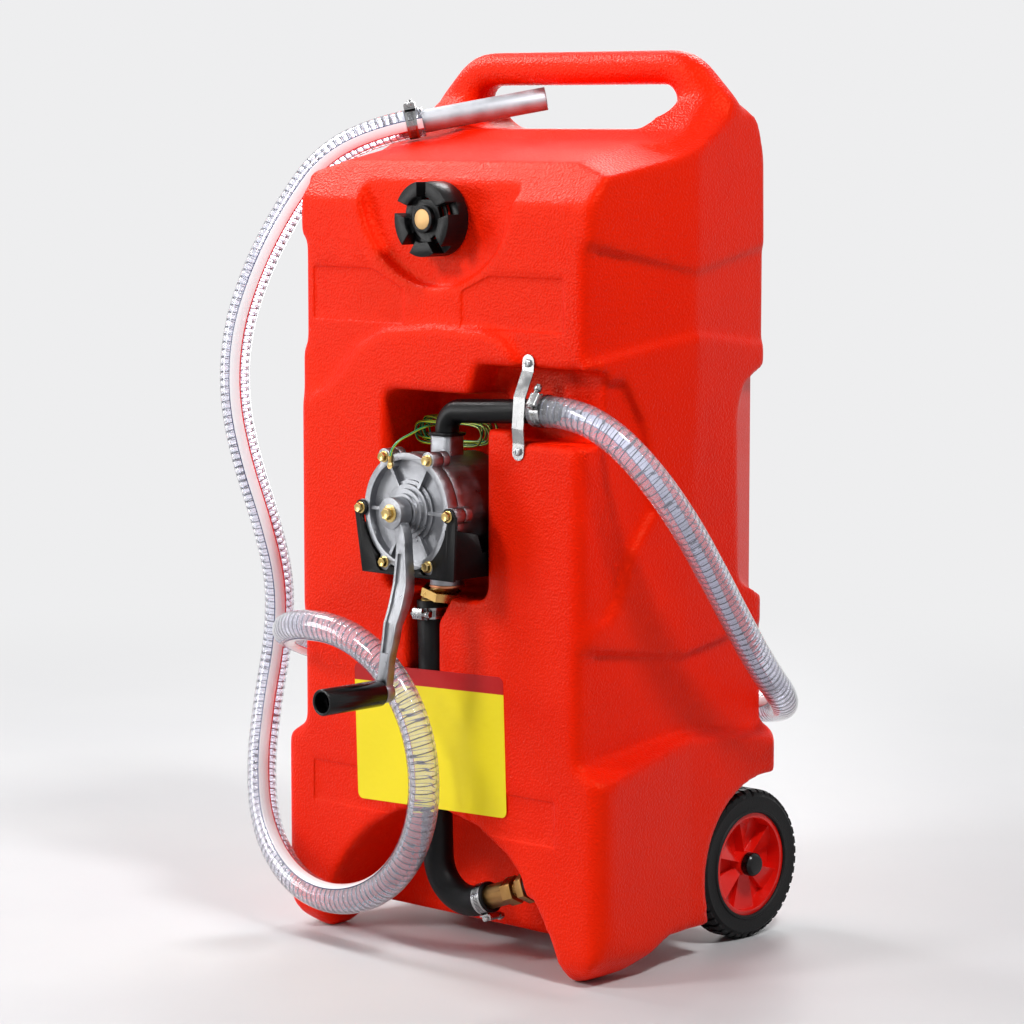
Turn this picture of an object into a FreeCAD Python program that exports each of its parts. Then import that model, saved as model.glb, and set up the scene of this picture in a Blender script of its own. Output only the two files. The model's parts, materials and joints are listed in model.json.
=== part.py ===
import FreeCAD, Part
import math
import os
from FreeCAD import Vector, Rotation, Placement

# A wheeled fuel caddy: a blow-moulded tank with a grab handle, a hand-cranked rotary
# pump in a bay in its front face, a suction hose from the low outlet and a clear
# delivery hose. Millimetres. X runs across, Y from front to back, Z up. The origin
# lies on the floor, midway between the sides and midway between the crank grip's
# end and the back of the tyres.

# Tank: planes from front to back
front_y = -99.0
upper_front_y = -91.0
parting_y = 61.0
back_y = 195.0
low_back_y = 211.0
wall = 4.0

# Tank: heights
underside_z = 33.0
ledge_z = 235.0
low_band_top_z = 338.0
shoulder_z = 645.0
facet_low_z = 785.0
facet_high_z = 826.0
top_z = 858.0
handle_bar_z = 904.0
total_height = 940.0

# Tank: half widths at the front corner, the parting line and the back corner
foot_half = (230.0, 214.0, 212.0)
waist_half = (207.0, 203.0, 204.0)
shoulder_half = (207.0, 221.0, 206.0)
top_half = (212.0, 219.0, 203.0)
corner_cut = 12.0
band_floor = (198.0, 216.5, 200.5)
low_band_floor = (198.0, 198.5, 197.5)
band_back_depth = 6.0

# Tank: grab handle
handle_front_y = 109.0
handle_back_y = 149.0
handle_gap_half = 142.0
handle_gap_r = 20.0
gap_bevel = 8.0
handle_bevel = 12.0

# Tank: pump bay, pipe channel, hose groove and the arch between the feet
bay_left = -72.0
bay_right = 74.0
bay_low_z = 380.0
bay_high_z = 590.0
bay_back_y = -14.0
bay_corner_r = 15.0
channel_low_z = 557.0
channel_outer_low_z = 547.0
channel_high_z = 621.0
channel_floor_y = -62.0
groove_left = -39.0
groove_right = 4.0
groove_floor_y = -62.0
arch_back_y = -12.0
arch_top_z = 158.0
scoop_x = 202.0

# Filler neck and cap
filler_x = -8.0
filler_z = 767.0
dish_r = 112.0
dish_centre_z = 809.0
dish_floor_y = -76.0
neck_r = 27.0
neck_bore_r = 22.0
neck_length = 18.0
cap_r = 38.5
cap_depth = 30.0
cap_segments = 5
cap_notch_width = 13.0
cap_pitch = 4.0
thread_gap = 0.5
vent_r = 10.5
vent_thickness = 3.0
gasket_thickness = 2.0

# Pump: the shaft runs along Y through the middle of the cover
pump_x = 10.0
pump_z = 472.0
cover_rim_y = -149.0
cover_web_y = -140.0
joint_y = -135.0
housing_back_y = -50.0
cover_r = 60.0
cover_rim_width = 7.0
ear_r = 8.5
bolt_circle_r = 62.5
bolt_count = 6
bolt_r = 2.5
drum_r = 56.0
chamber_r = 46.0
chamber_drop = 4.0
chamber_back_y = -62.0
gasket_gap = 1.0
rotor_r = 41.0
rotor_end_gap = 0.5
vane_count = 4
vane_thickness = 5.0
vane_length = 20.0
shaft_r = 6.0
hub_steps = ((32.0, -143.0), (28.0, -147.0), (23.5, -151.0), (19.0, -155.0))
running_gap = 0.05
seat_gap = 0.3

# Pump outlet: neck, rubber lip and the elbow pipe to the delivery hose
outlet_y = -89.0
neck_half = 14.0
neck_top_z = 546.0
neck_bore = 9.5
lip_half = 16.0
lip_thickness = 3.0
pipe_r = 12.45
pipe_bore_r = 9.5
pipe_level_z = 571.0
pipe_rise = 0.055
pipe_bend_r = 21.0
spigot_start_x = 134.3
spigot_end_x = 160.0

# Pump inlet: boss, copper washer, brass tail and suction hose
inlet_boss_r = 18.0
inlet_boss_low_z = 392.0
inlet_washer_z = 2.5
inlet_nut_flats = 37.0
inlet_nut_height = 9.0
hose_r = 16.0
hose_bore_r = 12.5
suction_x = -20.0
suction_low_x = -10.0
suction_y = -81.0
suction_top_z = 372.0
suction_bend_r = 44.0

# Tank outlet: a bulkhead fitting through the sloping inner wall of the right foot
outlet_wall_x = 124.0
outlet_wall_z = 91.6
outlet_tilt = 20.0
outlet_reach = 63.0
outlet_boss_r = 18.0

# Crank and grip
crank_front_y = -172.0
crank_back_y = -156.0
crank_arm = 182.0
crank_boss_r = 16.0
crank_offset_y = -181.0
crank_thickness = 10.0
crank_course = ((0.0, 0.0, 7.0), (12.0, 0.1, 6.0), (14.5, 0.22, 6.5), (16.0, 0.37, 9.0),
                (15.5, 0.52, 9.5), (10.5, 0.68, 8.5), (5.0, 0.81, 7.0), (0.0, 1.0, 7.0))
grip_r = 13.5
grip_bore_r = 10.5
grip_front_y = -269.0
grip_back_y = -188.0
grip_pin_r = 5.0

# Pump bracket of bent sheet
sheet = 3.0
bracket_low_z = 406.0
bracket_left_x = -51.0
bracket_right_x = 71.0
bracket_front = ((-62.0, 472.0), (-51.0, 406.0), (80.0, 406.0), (83.0, 472.0))

# Pipe strap
strap_top_x = 127.0
strap_foot_x = 120.5
strap_width = 15.5
strap_sheet = 1.5
strap_high_z = 626.0
strap_low_z = 537.0

# Wheels
axle_y = 189.0
wheel_r = 80.0
rim_r = 55.0
tyre_width = 36.0
wheel_face_x = 191.0
axle_r = 6.0
arch_r = 101.0
arch_inner_x = 146.0
wheel_washer_thickness = 2.0
rim_blades = 6
blade_half_width = 13.0
hub_cap_r = 12.5

# Information sticker
sticker_width = 216.0
sticker_height = 145.0
sticker_x = -7.0
sticker_z = 229.0
sticker_thickness = 0.5
sticker_tilt = -2.0

# Delivery hose: the corners of its route, first the elbow pipe's end, last the nozzle
delivery_route = (
    (134.5, -89.0, 577.85), (178.0, -89.0, 580.24), (228.0, -84.0, 563.0), (264.0, -64.0, 523.0),
    (279.0, -28.0, 471.0), (276.0, 20.0, 414.0), (270.0, 68.0, 358.0), (262.0, 118.0, 306.0),
    (246.0, 174.0, 266.0), (203.0, 219.0, 246.0), (140.0, 232.0, 240.0), (74.0, 229.0, 240.0),
    (4.0, 227.0, 243.0), (-66.0, 230.0, 244.0), (-136.0, 232.0, 247.0), (-201.0, 219.0, 250.0),
    (-246.0, 174.0, 254.0), (-257.0, 112.0, 260.0), (-250.0, 46.0, 271.0), (-240.0, -16.0, 289.0),
    (-234.0, -74.0, 309.0), (-203.0, -122.0, 327.0), (-150.0, -146.0, 341.0), (-86.0, -149.0, 341.0),
    (-28.0, -149.0, 317.0), (14.0, -148.0, 272.0), (33.0, -146.0, 214.0), (27.0, -143.0, 152.0),
    (-6.0, -139.0, 96.0), (-62.0, -135.0, 58.0), (-130.0, -130.0, 44.0), (-196.0, -121.0, 58.0),
    (-248.0, -109.0, 102.0), (-276.0, -90.0, 163.0), (-288.0, -68.0, 230.0), (-284.0, -54.0, 300.0),
    (-274.0, -60.0, 368.0), (-277.0, -78.0, 435.0), (-290.0, -94.0, 500.0), (-301.0, -102.0, 568.0),
    (-300.0, -98.0, 638.0), (-285.0, -82.0, 706.0), (-266.0, -53.0, 771.0), (-237.0, -24.0, 828.0),
    (-186.0, 9.0, 857.0), (-150.0, 40.0, 865.8),
)
nozzle_r = 12.45
nozzle_bore_r = 10.4
nozzle_reach = 134.0
nozzle_insert = 28.0

# Earth wire: from its screw on the cover to the hank behind the neck
wire_r = 1.25
earth_route = (
    (-11.0, -150.7, 522.4), (-11.0, -150.7, 532.0), (-7.0, -143.0, 543.0), (-6.0, -124.0, 549.0),
    (-15.0, -104.0, 552.0), (-20.0, -82.0, 554.0), (-22.0, -56.0, 554.0), (-46.0, -56.0, 554.0),
)
hank_turns = 7
hank_half = 47.0
hank_rise = 11.0
hank_pitch = 3.4
hank_centre_x = -22.0

across = Vector(1, 0, 0)
back = Vector(0, 1, 0)
up = Vector(0, 0, 1)


def block(x0, x1, y0, y1, z0, z1):
    """A box between two corners."""
    return Part.makeBox(x1 - x0, y1 - y0, z1 - z0, Vector(x0, y0, z0))


def rod(start, direction, radius, length):
    """A round bar from a point along a direction."""
    return Part.makeCylinder(radius, length, start, direction)


def tube(start, direction, radius, bore, length):
    """A straight pipe."""
    return rod(start, direction, radius, length).cut(rod(start, direction, bore, length))


def ring_y(x, z, y0, y1, radius, bore):
    """A ring round an axis along Y."""
    return tube(Vector(x, y0, z), back, radius, bore, y1 - y0)


def polygon(points):
    """A flat closed outline through points."""
    return Part.makePolygon([Vector(*p) for p in points] + [Vector(*points[0])])


def prism_xz(points, y0, y1):
    """An outline in the front view, run from front to back."""
    face = Part.Face(polygon([(x, y0, z) for x, z in points]))
    return face.extrude(Vector(0, y1 - y0, 0))


def prism_yz(points, x0, x1):
    """An outline in the side view, run across."""
    face = Part.Face(polygon([(x0, y, z) for y, z in points]))
    return face.extrude(Vector(x1 - x0, 0, 0))


def prism_xy(points, z0, z1):
    """An outline in the top view, run upward."""
    face = Part.Face(polygon([(x, y, z0) for x, y in points]))
    return face.extrude(Vector(0, 0, z1 - z0))


def mirrored_outline(half):
    """A front-view outline from its right half."""
    return list(half) + [(-x, z) for x, z in reversed(half) if x > 0]


def grown(outline, grow):
    """An outline with every side moved straight out by the same amount."""
    count = len(outline)
    sides = []
    area = 0
    for i in range(count):
        (x0, y0), (x1, y1) = outline[i], outline[(i + 1) % count]
        length = math.hypot(x1 - x0, y1 - y0)
        sides.append(((y1 - y0) / length, (x0 - x1) / length))
        area += x0 * y1 - x1 * y0
    out = grow if area > 0 else -grow
    moved = []
    for i, (x, y) in enumerate(outline):
        (ax, ay), (bx, by) = sides[i - 1], sides[i]
        share = out / (1 + ax * bx + ay * by)
        moved.append((x + (ax + bx) * share, y + (ay + by) * share))
    return moved


def hex_bar(start, direction, flats, height):
    """A hexagon bar from a point along a direction."""
    radius = flats / math.sqrt(3)
    corners = []
    for i in range(6):
        angle = math.radians(60 * i)
        corners.append((radius * math.cos(angle), radius * math.sin(angle), 0))
    bar = Part.Face(polygon(corners)).extrude(Vector(0, 0, height))
    bar.Placement = Placement(start, Rotation(up, direction))
    return bar


def rounded_path(route, radius=None):
    """Straight runs along a route, joined by arcs tangent to them.

    An arc takes 0.45 of the shorter run beside its corner unless a radius is given."""
    points = [Vector(*p) for p in route]
    edges = []
    radii = []
    here = points[0]
    for before, corner, after in zip(points, points[1:], points[2:]):
        inward = (corner - before).normalize()
        outward = (after - corner).normalize()
        turn = inward.getAngle(outward)
        if radius:
            setback = radius * math.tan(turn / 2)
        else:
            shorter = min((corner - before).Length, (after - corner).Length)
            setback = 0.45 * shorter
        bend = setback / math.tan(turn / 2)
        start = corner - inward * setback
        end = corner + outward * setback
        towards = (outward - inward).normalize()
        sagitta = bend / math.cos(turn / 2) - bend
        middle = corner + towards * sagitta
        edges.append(Part.LineSegment(here, start).toShape())
        edges.append(Part.Arc(start, middle, end).toShape())
        radii.append(bend)
        here = end
    edges.append(Part.LineSegment(here, points[-1]).toShape())
    return Part.Wire(edges), radii


def pipe_along(wire, radius):
    """A round bar that follows a wire."""
    first = wire.Edges[0]
    start = first.valueAt(first.FirstParameter)
    direction = first.tangentAt(first.FirstParameter)
    circle = Part.Wire(Part.makeCircle(radius, start, direction))
    return wire.makePipeShell([circle], True, False)


def report_cord(name, wire, radii, shape, radius):
    """Print a cord's length, its tightest arc and how its volume compares."""
    ideal = math.pi * radius ** 2 * wire.Length
    print(name, "length %.0f" % wire.Length, "tightest arc %.0f" % min(radii),
          "volume ratio %.4f" % (shape.Volume / ideal), "valid", shape.isValid())


def plan_outline(half, inset, front, rear):
    """The tank's top-view outline: narrow in front, widest near the parting line."""
    front_half, parting_half, back_half = half
    right = [
        (front_half - inset - corner_cut, front + inset),
        (front_half - inset, front + inset + corner_cut),
        (parting_half - inset, parting_y),
        (back_half - inset, rear - inset - corner_cut),
        (back_half - inset - corner_cut, rear - inset),
    ]
    return right + [(-x, y) for x, y in reversed(right)]


def plan_loft(low_half, high_half, z0, z1, inset, rear):
    """A stretch of the tank between two top-view outlines."""
    low = plan_outline(low_half, inset, front_y, rear)
    high = plan_outline(high_half, inset, front_y, rear)
    wires = [polygon([(x, y, z0) for x, y in low]), polygon([(x, y, z1) for x, y in high])]
    return Part.makeLoft(wires, True, True)


def plan_body(inset):
    """The tank's width and depth at each height."""
    split = (ledge_z + low_band_top_z) / 2 - inset
    foot = plan_loft(foot_half, foot_half, 0, split, inset, low_back_y)
    middle = plan_loft(waist_half, shoulder_half, split, shoulder_z, inset, back_y)
    upper = plan_loft(shoulder_half, top_half, shoulder_z, total_height, inset, back_y)
    return foot.fuse([middle, upper])


def side_profile(inset):
    """The tank's outline seen from the side, handle included."""
    points = [
        (-82, 0), (-50, 0), (25, underside_z), (300, underside_z), (300, 804), (back_y, 804), (178, top_z),
        (156, 886), (handle_back_y, 932), (handle_back_y - 6, total_height), (handle_front_y + 6, total_height),
        (handle_front_y, 932), (handle_front_y, 892), (66, top_z - 2), (44, 847), (-59, facet_high_z),
        (upper_front_y, facet_low_z), (-140, facet_low_z), (-140, 45), (-99, 20),
    ]
    return prism_yz(grown(points, -inset), -300, 300)


def front_points(inset):
    """The tank's outline seen from the front, without the arch between the feet."""
    half = [(0, inset), (186, inset), (208, 9 + inset), (224 - inset, 28 + inset), (233 - inset, 60 + inset),
            (233 - inset, 830), (221 - inset, 850), (217 - inset, 874 - inset), (204 - inset, 893 - inset),
            (186 - inset, 910 - inset), (169 - inset, 926 - inset), (152 - inset, 936 - inset),
            (132, total_height - inset)]
    return mirrored_outline(half)


def front_outline(inset):
    """The outline of the front view, run from front to back."""
    return prism_xz(front_points(inset), -300, 300)


def handle_points(inset, bevel):
    """The handle's outline drawn in by a bevel that fades out where it meets the shoulders."""
    half = [(0, 500), (233 - inset, 500), (233 - inset, 830), (221 - inset, 850),
            (217 - inset - 0.4 * bevel, 874 - inset - 0.3 * bevel),
            (204 - inset - 0.8 * bevel, 893 - inset - 0.7 * bevel),
            (186 - inset - 0.8 * bevel, 910 - inset - 0.8 * bevel),
            (169 - inset - 0.7 * bevel, 926 - inset - 0.8 * bevel),
            (152 - inset - 0.5 * bevel, 936 - inset - bevel),
            (132 - 0.3 * bevel, total_height - inset - bevel)]
    return mirrored_outline(half)


def handle_bevels(grow):
    """Bevels that round the handle's front and back edges."""
    cuts = []
    for face_y, end_y, inward in ((handle_front_y + grow, 20, 1), (handle_back_y - grow, 190, -1)):
        inner_y = face_y + inward * handle_bevel
        narrow = polygon([(x, face_y, z) for x, z in handle_points(grow, handle_bevel)])
        full = polygon([(x, inner_y, z) for x, z in handle_points(grow, 0)])
        bevel = Part.makeLoft([narrow, full], True, True)
        straight = Part.Face(narrow).extrude(Vector(0, end_y - face_y, 0))
        slab = block(-260, 260, min(inner_y, end_y), max(inner_y, end_y), 835, total_height + 5)
        cuts.append(slab.cut([bevel, straight]))
        rings = []
        for y, out in ((face_y, gap_bevel + grow), (face_y + inward * gap_bevel, grow)):
            half, high = handle_gap_half + out, handle_bar_z + out
            rings.append(polygon([(-half, y, 876), (half, y, 876), (half, y, high - 15), (half - 15, y, high),
                                  (15 - half, y, high), (-half, y, high - 15)]))
        cuts.append(Part.makeLoft(rings, True, True))
        cuts.append(Part.Face(rings[0]).extrude(Vector(0, end_y - face_y, 0)))
    return cuts


def top_shoulders(inset):
    """What the sloping shoulders beside the top face take away."""
    front = [(150, 813 - inset), (216, 796 - inset), (320, 769 - inset), (320, 1000), (150, 1000)]
    start = [(x, -140, z) for x, z in front]
    run = 170 + inset
    slope = Part.Face(polygon(start)).extrude(Vector(0, run, run * 0.2))
    low = [(178, 846 - inset), (216, 829 - inset), (320, 783 - inset), (320, 1000), (178, 1000)]
    high = [(196, 895 - inset), (221, 858 - inset), (320, 712 - inset), (320, 1000), (196, 1000)]
    rise = Part.makeLoft([polygon([(x, 29, z) for x, z in low]), polygon([(x, 120, z) for x, z in high])],
                         True, True)
    right = slope.fuse(rise)
    return right.fuse(right.mirror(Vector(0, 0, 0), across))


def band_piece(here, there, ledge, grow):
    """One straight stretch of a side band: a floor and outward-sloping ledges.

    here and there give y, floor x, low z and high z at the two ends."""
    outlines = []
    for out, slope in ((-grow, grow), (60 - grow, grow + ledge)):
        corners = []
        for y, x, low, high in (here, there):
            corners.append(((x + out, y, low - slope), (x + out, y, high + slope * 0.6)))
        ring = [corners[0][0], corners[1][0], corners[1][1], corners[0][1]]
        outlines.append(polygon(ring))
    return Part.makeLoft(outlines, True, True)


def bands(grow):
    """Two bands cut into the sides, the upper one round the back as well."""
    cuts = []
    for floor, lows, highs, ledge in ((band_floor, (629, 653, 637), (745, 714, 737), 34),
                                      (low_band_floor, (225, 243, 228), (338, 320, 338), 34)):
        front_x = floor[0] - 0.3 * (floor[1] - floor[0])
        rear_x = floor[2] + 0.3 * (floor[2] - floor[1])
        front = (front_y - 48, front_x, lows[0] - 7, highs[0] + 9)
        middle = (parting_y, floor[1], lows[1], highs[1])
        rear = (back_y + 27, rear_x, lows[2] - 4, highs[2] + 6)
        for piece in (band_piece(front, middle, ledge, grow), band_piece(middle, rear, ledge, grow)):
            cuts += [piece, piece.mirror(Vector(0, 0, 0), across)]
    y = back_y - band_back_depth - grow
    inner = polygon([(x, y, z) for x, z in ((-260, 637 - grow), (260, 637 - grow), (260, 738 + grow),
                                            (-260, 738 + grow))])
    outer = polygon([(x, y + 50, z) for x, z in ((-260, 600 - grow), (260, 600 - grow), (260, 765 + grow),
                                                 (-260, 765 + grow))])
    cuts.append(Part.makeLoft([inner, outer], True, True))
    cuts.append(prism_yz([(back_y - grow, ledge_z + 2 - grow), (low_back_y, ledge_z - 9 - grow), (400, 220 - grow),
                          (400, 420), (back_y - grow, 420)], -300, 300))
    return cuts


def arch_outline(grow):
    """The arch between the feet, seen from the front."""
    half = [(175 + grow, -60), (172 + grow, 8), (167 + grow, 25), (151 + grow, 61), (130 + grow, 93 + grow * 0.4),
            (101 + grow * 0.7, 121 + grow * 0.7), (58 + grow * 0.3, 146 + grow), (0, arch_top_z + grow)]
    return [(-x, z) for x, z in half[:-1]] + list(reversed(half))


def bay_cut(grow):
    """The pump bay with rounded corners, the pipe channel and the hose groove."""
    x0, x1 = bay_left - grow, bay_right + grow
    z0, z1 = bay_low_z - grow, bay_high_z + grow
    bay = block(x0, x1, -300, bay_back_y + grow, z0, z1)
    edges = [e for e in bay.Edges if abs(e.tangentAt(e.FirstParameter).y) > 0.9]
    bay = bay.makeFillet(bay_corner_r + grow, edges)
    channel = prism_xz(grown([(0, channel_low_z), (108, channel_low_z), (112, channel_outer_low_z),
                              (300, channel_outer_low_z), (300, channel_high_z - 8), (205, channel_high_z - 3),
                              (195, channel_high_z), (62, channel_high_z), (48, bay_high_z), (0, bay_high_z)],
                             grow), -300, channel_floor_y + grow)
    groove = prism_xz([(groove_left - grow, 100), (groove_right + grow, 100), (groove_right + grow, 352),
                       (groove_right + 18 + grow, 378), (groove_right + 18 + grow, bay_low_z + 20),
                       (groove_left - grow, bay_low_z + 20)], -300, groove_floor_y + grow)
    return bay.fuse([channel, groove])


def scoop_cut(grow):
    """The flat scoop behind each front corner that lets the hose drop past the side."""
    outline = [(-140, 615), (-39, 608), (-12, 566), (-2, 531), (8, 475), (-22, 438), (-43, 389), (-58, 369),
               (-140, 355)]
    return prism_yz(grown(outline, grow), scoop_x - grow, 300)


def waist_cuts(grow):
    """The hollowed back corners that a wound hose rests in."""
    side = prism_yz(grown([(300, 628), (205, 622), (150, 596), (126, 540), (118, 480), (126, 426), (150, 388),
                           (205, 364), (300, 360)], grow), -300, 300)
    cuts = []
    for hand in (1, -1):
        plan = prism_xy(grown([(hand * 217, 120), (hand * 320, 120), (hand * 320, 320),
                               (hand * 150, 320), (hand * 178, back_y + 4)], grow), 300, 700)
        cuts.append(side.common(plan))
    return cuts


def front_step(grow):
    """The upper front face lies behind the lower one; their edge arches over the bay."""
    outline = [(-300, 570), (-194, 576), (-168, 583), (-145, 600), (-115, 632), (-77, 650), (-4, 657), (67, 655),
               (95, 648), (109, 635), (116, channel_high_z), (300, channel_high_z), (300, 1000), (-300, 1000)]
    return prism_xz(grown(outline, grow), -300, upper_front_y + grow)


def dish_cut(grow):
    """The half-round dish behind the filler cap."""
    return rod(Vector(filler_x, -300, dish_centre_z), back, dish_r + grow, 300 + dish_floor_y + grow)


def wheel_cuts(grow):
    """The arches that the wheels stand in."""
    cuts = []
    for hand in (1, -1):
        start = Vector(hand * (arch_inner_x - grow), axle_y, wheel_r)
        cuts.append(rod(start, across * hand, arch_r + grow, 200))
    return cuts


def outlet_axis():
    """The point where the outlet's axis leaves the tank, and its direction."""
    tilt = math.radians(outlet_tilt)
    return Vector(outlet_wall_x, suction_y, outlet_wall_z), Vector(-math.cos(tilt), 0, -math.sin(tilt))


def tank_shape(inset):
    """The tank's outer form, or with an inset the space inside its wall."""
    body = plan_body(inset).common(side_profile(inset)).common(front_outline(inset))
    cuts = [top_shoulders(inset), bay_cut(inset), scoop_cut(inset), front_step(inset), dish_cut(inset)]
    cuts += bands(inset) + waist_cuts(inset) + wheel_cuts(inset)
    cuts.append(prism_xz(arch_outline(inset), -300, arch_back_y + inset))
    cuts.append(handle_gap(inset))
    cuts += handle_bevels(inset)
    return body.cut(cuts)


def handle_gap(grow):
    """The opening under the grab handle."""
    low_z = top_z - grow
    clear = grow + gap_bevel if grow else 0
    high_z = handle_bar_z + clear
    half = handle_gap_half + clear
    gap = block(-half, half, -300, 400, low_z, high_z)
    edges = [e for e in gap.Edges if abs(e.tangentAt(e.FirstParameter).y) > 0.9]
    return gap.makeFillet(handle_gap_r, edges)


def make_tank():
    """The hollow tank with its filler neck, axle tunnel and screw holes."""
    outer = tank_shape(0)
    inner = tank_shape(wall)
    neck_start = Vector(filler_x, dish_floor_y, filler_z)
    neck = rod(neck_start, back * -1, neck_r, neck_length)
    inner = inner.cut(rod(Vector(-300, axle_y, wheel_r), across, axle_r + running_gap + wall, 600))
    shell = outer.cut(inner).fuse(neck)
    mouth = rod(neck_start - back * neck_length, back, neck_bore_r, neck_length + wall + 10)
    tunnel = rod(Vector(-300, axle_y, wheel_r), across, axle_r + running_gap, 600)
    wall_point, outward = outlet_axis()
    outlet = rod(wall_point - outward * 40, outward, 9.05, 60)
    spot_face = rod(wall_point, outward, outlet_boss_r + 3, 24)
    holes = [mouth, tunnel, outlet, spot_face]
    for x, y, z in strap_screw_places():
        holes.append(rod(Vector(x, y, z), back, 1.75, 12))
    for x in bracket_bolt_xs():
        holes.append(rod(Vector(x, bay_back_y - 1, bracket_bolt_z()), back, 2.55, 14))
    bosses = []
    for x, y, z in strap_screw_places():
        bosses.append(rod(Vector(x, y + 2, z), back, 5.0, 14))
    for x in bracket_bolt_xs():
        bosses.append(rod(Vector(x, bay_back_y + 1, bracket_bolt_z()), back, 7.0, 16))
    bosses.append(rod(wall_point - outward * 24, outward, outlet_boss_r, 24))
    bosses.append(rod(wall_point - outward * 24, outward, outlet_boss_r + 7, 24).common(outer))
    return shell.fuse(bosses).cut(holes).removeSplitter()


def strap_screw_places():
    """Where the two strap screws meet the tank's front faces."""
    return [(strap_top_x, upper_front_y, strap_high_z), (strap_foot_x, front_y, strap_low_z)]


def bracket_bolt_xs():
    """The two bolts that hold the bracket to the back of the bay."""
    return (pump_x - 38.0, pump_x + 38.0)


def bracket_bolt_z():
    return bracket_low_z + 19.0


def make_sticker():
    """A blank sheet on the lower front face."""
    half_w, half_h = sticker_width / 2, sticker_height / 2
    plate = block(-half_w, half_w, front_y - sticker_thickness, front_y, -half_h, half_h)
    edges = [e for e in plate.Edges if abs(e.tangentAt(e.FirstParameter).y) > 0.9]
    plate = plate.makeFillet(7, edges)
    plate.Placement = Placement(Vector(sticker_x, 0, sticker_z), Rotation(back, sticker_tilt))
    return plate


def make_cap():
    """The castellated filler cap, open towards the neck, with a seat for the brass disc."""
    y0 = cap_front()
    body = rod(Vector(filler_x, y0, filler_z), back, cap_r, cap_depth)
    roof_y = dish_floor_y - neck_length - gasket_thickness
    hollow = rod(Vector(filler_x, roof_y, filler_z), back, neck_r + thread_gap, cap_depth)
    dish = rod(Vector(filler_x, y0 - 1, filler_z), back, 24, 8)
    hub = rod(Vector(filler_x, y0 + 1, filler_z), back, 14, 8)
    seat = rod(Vector(filler_x, y0, filler_z), back, vent_r + running_gap, vent_thickness + 1)
    cap = body.cut([hollow, dish]).fuse(hub).cut(seat)
    for i in range(cap_segments):
        angle = 90 + 360 / cap_segments * (i + 0.5)
        notch = block(20, cap_r + 2, y0 - 1, y0 + 16, -cap_notch_width / 2, cap_notch_width / 2)
        notch.rotate(Vector(0, 0, 0), back, angle)
        notch.translate(Vector(filler_x, 0, filler_z))
        cap = cap.cut(notch)
    return cap


def cap_front():
    return dish_floor_y - 2.0 - cap_depth


def make_vent():
    """The brass disc in the middle of the cap."""
    return rod(Vector(filler_x, cap_front() + 1, filler_z), back, vent_r, vent_thickness)


def make_cap_gasket():
    """The sealing ring between the cap and the neck's end."""
    y1 = dish_floor_y - neck_length
    return ring_y(filler_x, filler_z, y1 - gasket_thickness, y1, neck_r - 0.5, neck_bore_r)


def ears(y0, y1, radius):
    """Six ears on the bolt circle."""
    shapes = []
    for i in range(bolt_count):
        angle = math.radians(60 * i)
        x = pump_x + bolt_circle_r * math.cos(angle)
        z = pump_z + bolt_circle_r * math.sin(angle)
        shapes.append(rod(Vector(x, y0, z), back, radius, y1 - y0))
    return shapes


def make_cover():
    """The pump cover: rim, ears, six ribs and a stepped hub round the shaft."""
    disc = rod(Vector(pump_x, cover_web_y, pump_z), back, cover_r, joint_y - cover_web_y)
    rim = ring_y(pump_x, pump_z, cover_rim_y, joint_y, cover_r, cover_r - cover_rim_width)
    shapes = [rim] + ears(cover_rim_y, joint_y, ear_r)
    for radius, y in hub_steps:
        shapes.append(rod(Vector(pump_x, y, pump_z), back, radius, joint_y - y))
    for i in range(bolt_count):
        rib = block(20, cover_r - 3, -146, joint_y, -1.8, 1.8)
        rib.rotate(Vector(0, 0, 0), back, 60 * i)
        rib.translate(Vector(pump_x, 0, pump_z))
        shapes.append(rib)
    cover = disc.fuse(shapes)
    last_y = hub_steps[-1][1]
    seal_seat = rod(Vector(pump_x, last_y - 1, pump_z), back, seal_r() + running_gap, 7)
    bush_seat = rod(Vector(pump_x, last_y, pump_z), back, bush_r() + running_gap, 40)
    holes = ears(cover_rim_y - 1, joint_y + 1, bolt_r + running_gap)
    screw = rod(Vector(-11, cover_rim_y - 1, 519), back, 1.55, 9)
    boss = rod(Vector(-11, cover_rim_y, 519), back, 4.0, joint_y - cover_rim_y)
    return cover.fuse(boss).cut([seal_seat, bush_seat, screw] + holes)


def seal_r():
    return shaft_r + 6.0


def bush_r():
    return shaft_r + 2.5


def make_cover_gasket():
    """The flat gasket between cover and housing."""
    ring = ring_y(pump_x, pump_z, joint_y, joint_y + gasket_gap, cover_r - 2, chamber_r + 5)
    return ring


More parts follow.
